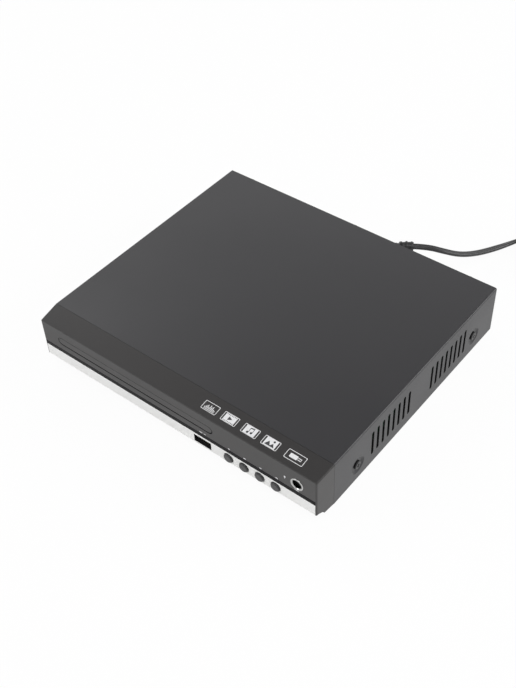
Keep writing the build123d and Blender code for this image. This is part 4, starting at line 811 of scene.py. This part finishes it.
def stage_floor():
    """A plain pale floor that rises far off, looks white, also in reflections, and keeps a faint shadow."""
    made = bmesh.new()
    flat, bend, rise, sides, bend_steps = 2.7, 1.2, 2.2, 64, 12
    angles = [pi / 2 * k / bend_steps for k in range(bend_steps + 1)]
    profile = [(flat + bend * sin(a), bend - bend * cos(a)) for a in angles] + [(flat + bend, rise)]
    rings = [[made.verts.new((x, y, z)) for x, y in circle(0, 0, radius, sides)] for radius, z in profile]
    made.faces.new(rings[0])
    for here, there in zip(rings, rings[1:]):
        for k in range(sides):
            made.faces.new([here[k - 1], there[k - 1], there[k], here[k]]).smooth = True
    bmesh.ops.recalc_face_normals(made, faces=made.faces)
    bmesh.ops.reverse_faces(made, faces=[f for f in made.faces if len(f.verts) > 4 and f.normal.z < 0])
    mesh = bpy.data.meshes.new("floor")
    made.to_mesh(mesh)
    made.free()
    floor = bpy.data.objects.new("floor", mesh)
    scene.collection.objects.link(floor)
    material = bpy.data.materials.new("floor_white")
    material.use_nodes = True
    tree = material.node_tree
    tree.nodes.remove(tree.nodes["Principled BSDF"])
    output = tree.nodes["Material Output"]
    plain = tree.nodes.new("ShaderNodeBsdfDiffuse")
    plain.inputs["Color"].default_value = (0.86, 0.86, 0.86, 1.0)
    glow = tree.nodes.new("ShaderNodeEmission")
    glow.inputs["Strength"].default_value = 1.0
    both = tree.nodes.new("ShaderNodeMixShader")
    share = tree.nodes.new("ShaderNodeMath")
    share.operation = "MULTIPLY"
    share.inputs[1].default_value = 0.95
    tree.links.new(seen_rays(tree), share.inputs[0])
    tree.links.new(share.outputs["Value"], both.inputs["Fac"])
    tree.links.new(plain.outputs["BSDF"], both.inputs[1])
    tree.links.new(glow.outputs["Emission"], both.inputs[2])
    tree.links.new(both.outputs["Shader"], output.inputs["Surface"])
    mesh.materials.append(material)


def seen_rays(tree):
    """One for camera, glossy and transmission rays."""
    path = tree.nodes.new("ShaderNodeLightPath")
    total = path.outputs["Is Camera Ray"]
    for name in ("Is Glossy Ray", "Is Transmission Ray"):
        larger = tree.nodes.new("ShaderNodeMath")
        larger.operation = "MAXIMUM"
        tree.links.new(total, larger.inputs[0])
        tree.links.new(path.outputs[name], larger.inputs[1])
        total = larger.outputs["Value"]
    return total


def softbox(name, place, target, width, height, power):
    data = bpy.data.lights.new(name, "AREA")
    data.shape = "RECTANGLE"
    data.size = width
    data.size_y = height
    data.energy = power
    lamp = bpy.data.objects.new(name, data)
    lamp.location = place
    lamp.rotation_euler = (Vector(target) - Vector(place)).to_track_quat("-Z", "Y").to_euler()
    scene.collection.objects.link(lamp)


def studio_light():
    world = bpy.data.worlds.new("studio")
    world.use_nodes = True
    world.node_tree.nodes["Background"].inputs["Color"].default_value = (1.0, 1.0, 1.0, 1.0)
    world.node_tree.nodes["Background"].inputs["Strength"].default_value = 0.35
    scene.world = world
    softbox("key_softbox", (0.45, -0.85, 1.9), (0.0, 0.0, 0.02), 1.4, 1.2, 16.0)
    softbox("left_softbox", (-1.463, 0.591, 1.146), (0.0, 0.0, 0.03), 0.8, 0.8, 5.0)
    softbox("back_softbox", (-0.85, 1.70, 1.00), (0.0, 0.0, 0.03), 1.6, 0.7, 3.9)
    softbox("back_right_softbox", (1.3, 0.9, 0.8), (0.1, 0.05, 0.02), 1.0, 0.9, 15.0)
    softbox("front_left_softbox", (-1.3, -1.5, 0.9), (0.0, -0.1, 0.02), 1.2, 1.0, 11.0)
    scene.view_settings.view_transform = "Standard"


photo_camera()
mains_cord()
dress_nodes()
new_piece("white_prints", white_prints, "white_ink", "chassis")
new_piece("dark_prints", dark_prints, "dark_ink", "chassis")
button_hole_shade()
vent_slot_shade()
new_piece("usb_hole_shade", usb_hole_shade, "painted_shade_black", "chassis")
new_piece("door_gap_shade", door_gap_shade, "painted_shade_black", "chassis")
new_piece("hdmi_tongue", hdmi_tongue, "part_black", "chassis")
contact_row("usb_contacts", 4, (usb_x, -0.0962, 0.0131), 2 * mm, (1 * mm, 5.5 * mm, 0.12 * mm))
for row_name, contacts, side in (("hdmi_upper_contacts", 10, 1), ("hdmi_lower_contacts", 9, -1)):
    row_middle = (hdmi_x, 0.0920, hdmi_mid_z + side * tongue_thickness / 2)
    contact_row(row_name, contacts, row_middle, 1 * mm, (0.45 * mm, 4 * mm, 0.1 * mm))
stage_floor()
studio_light()
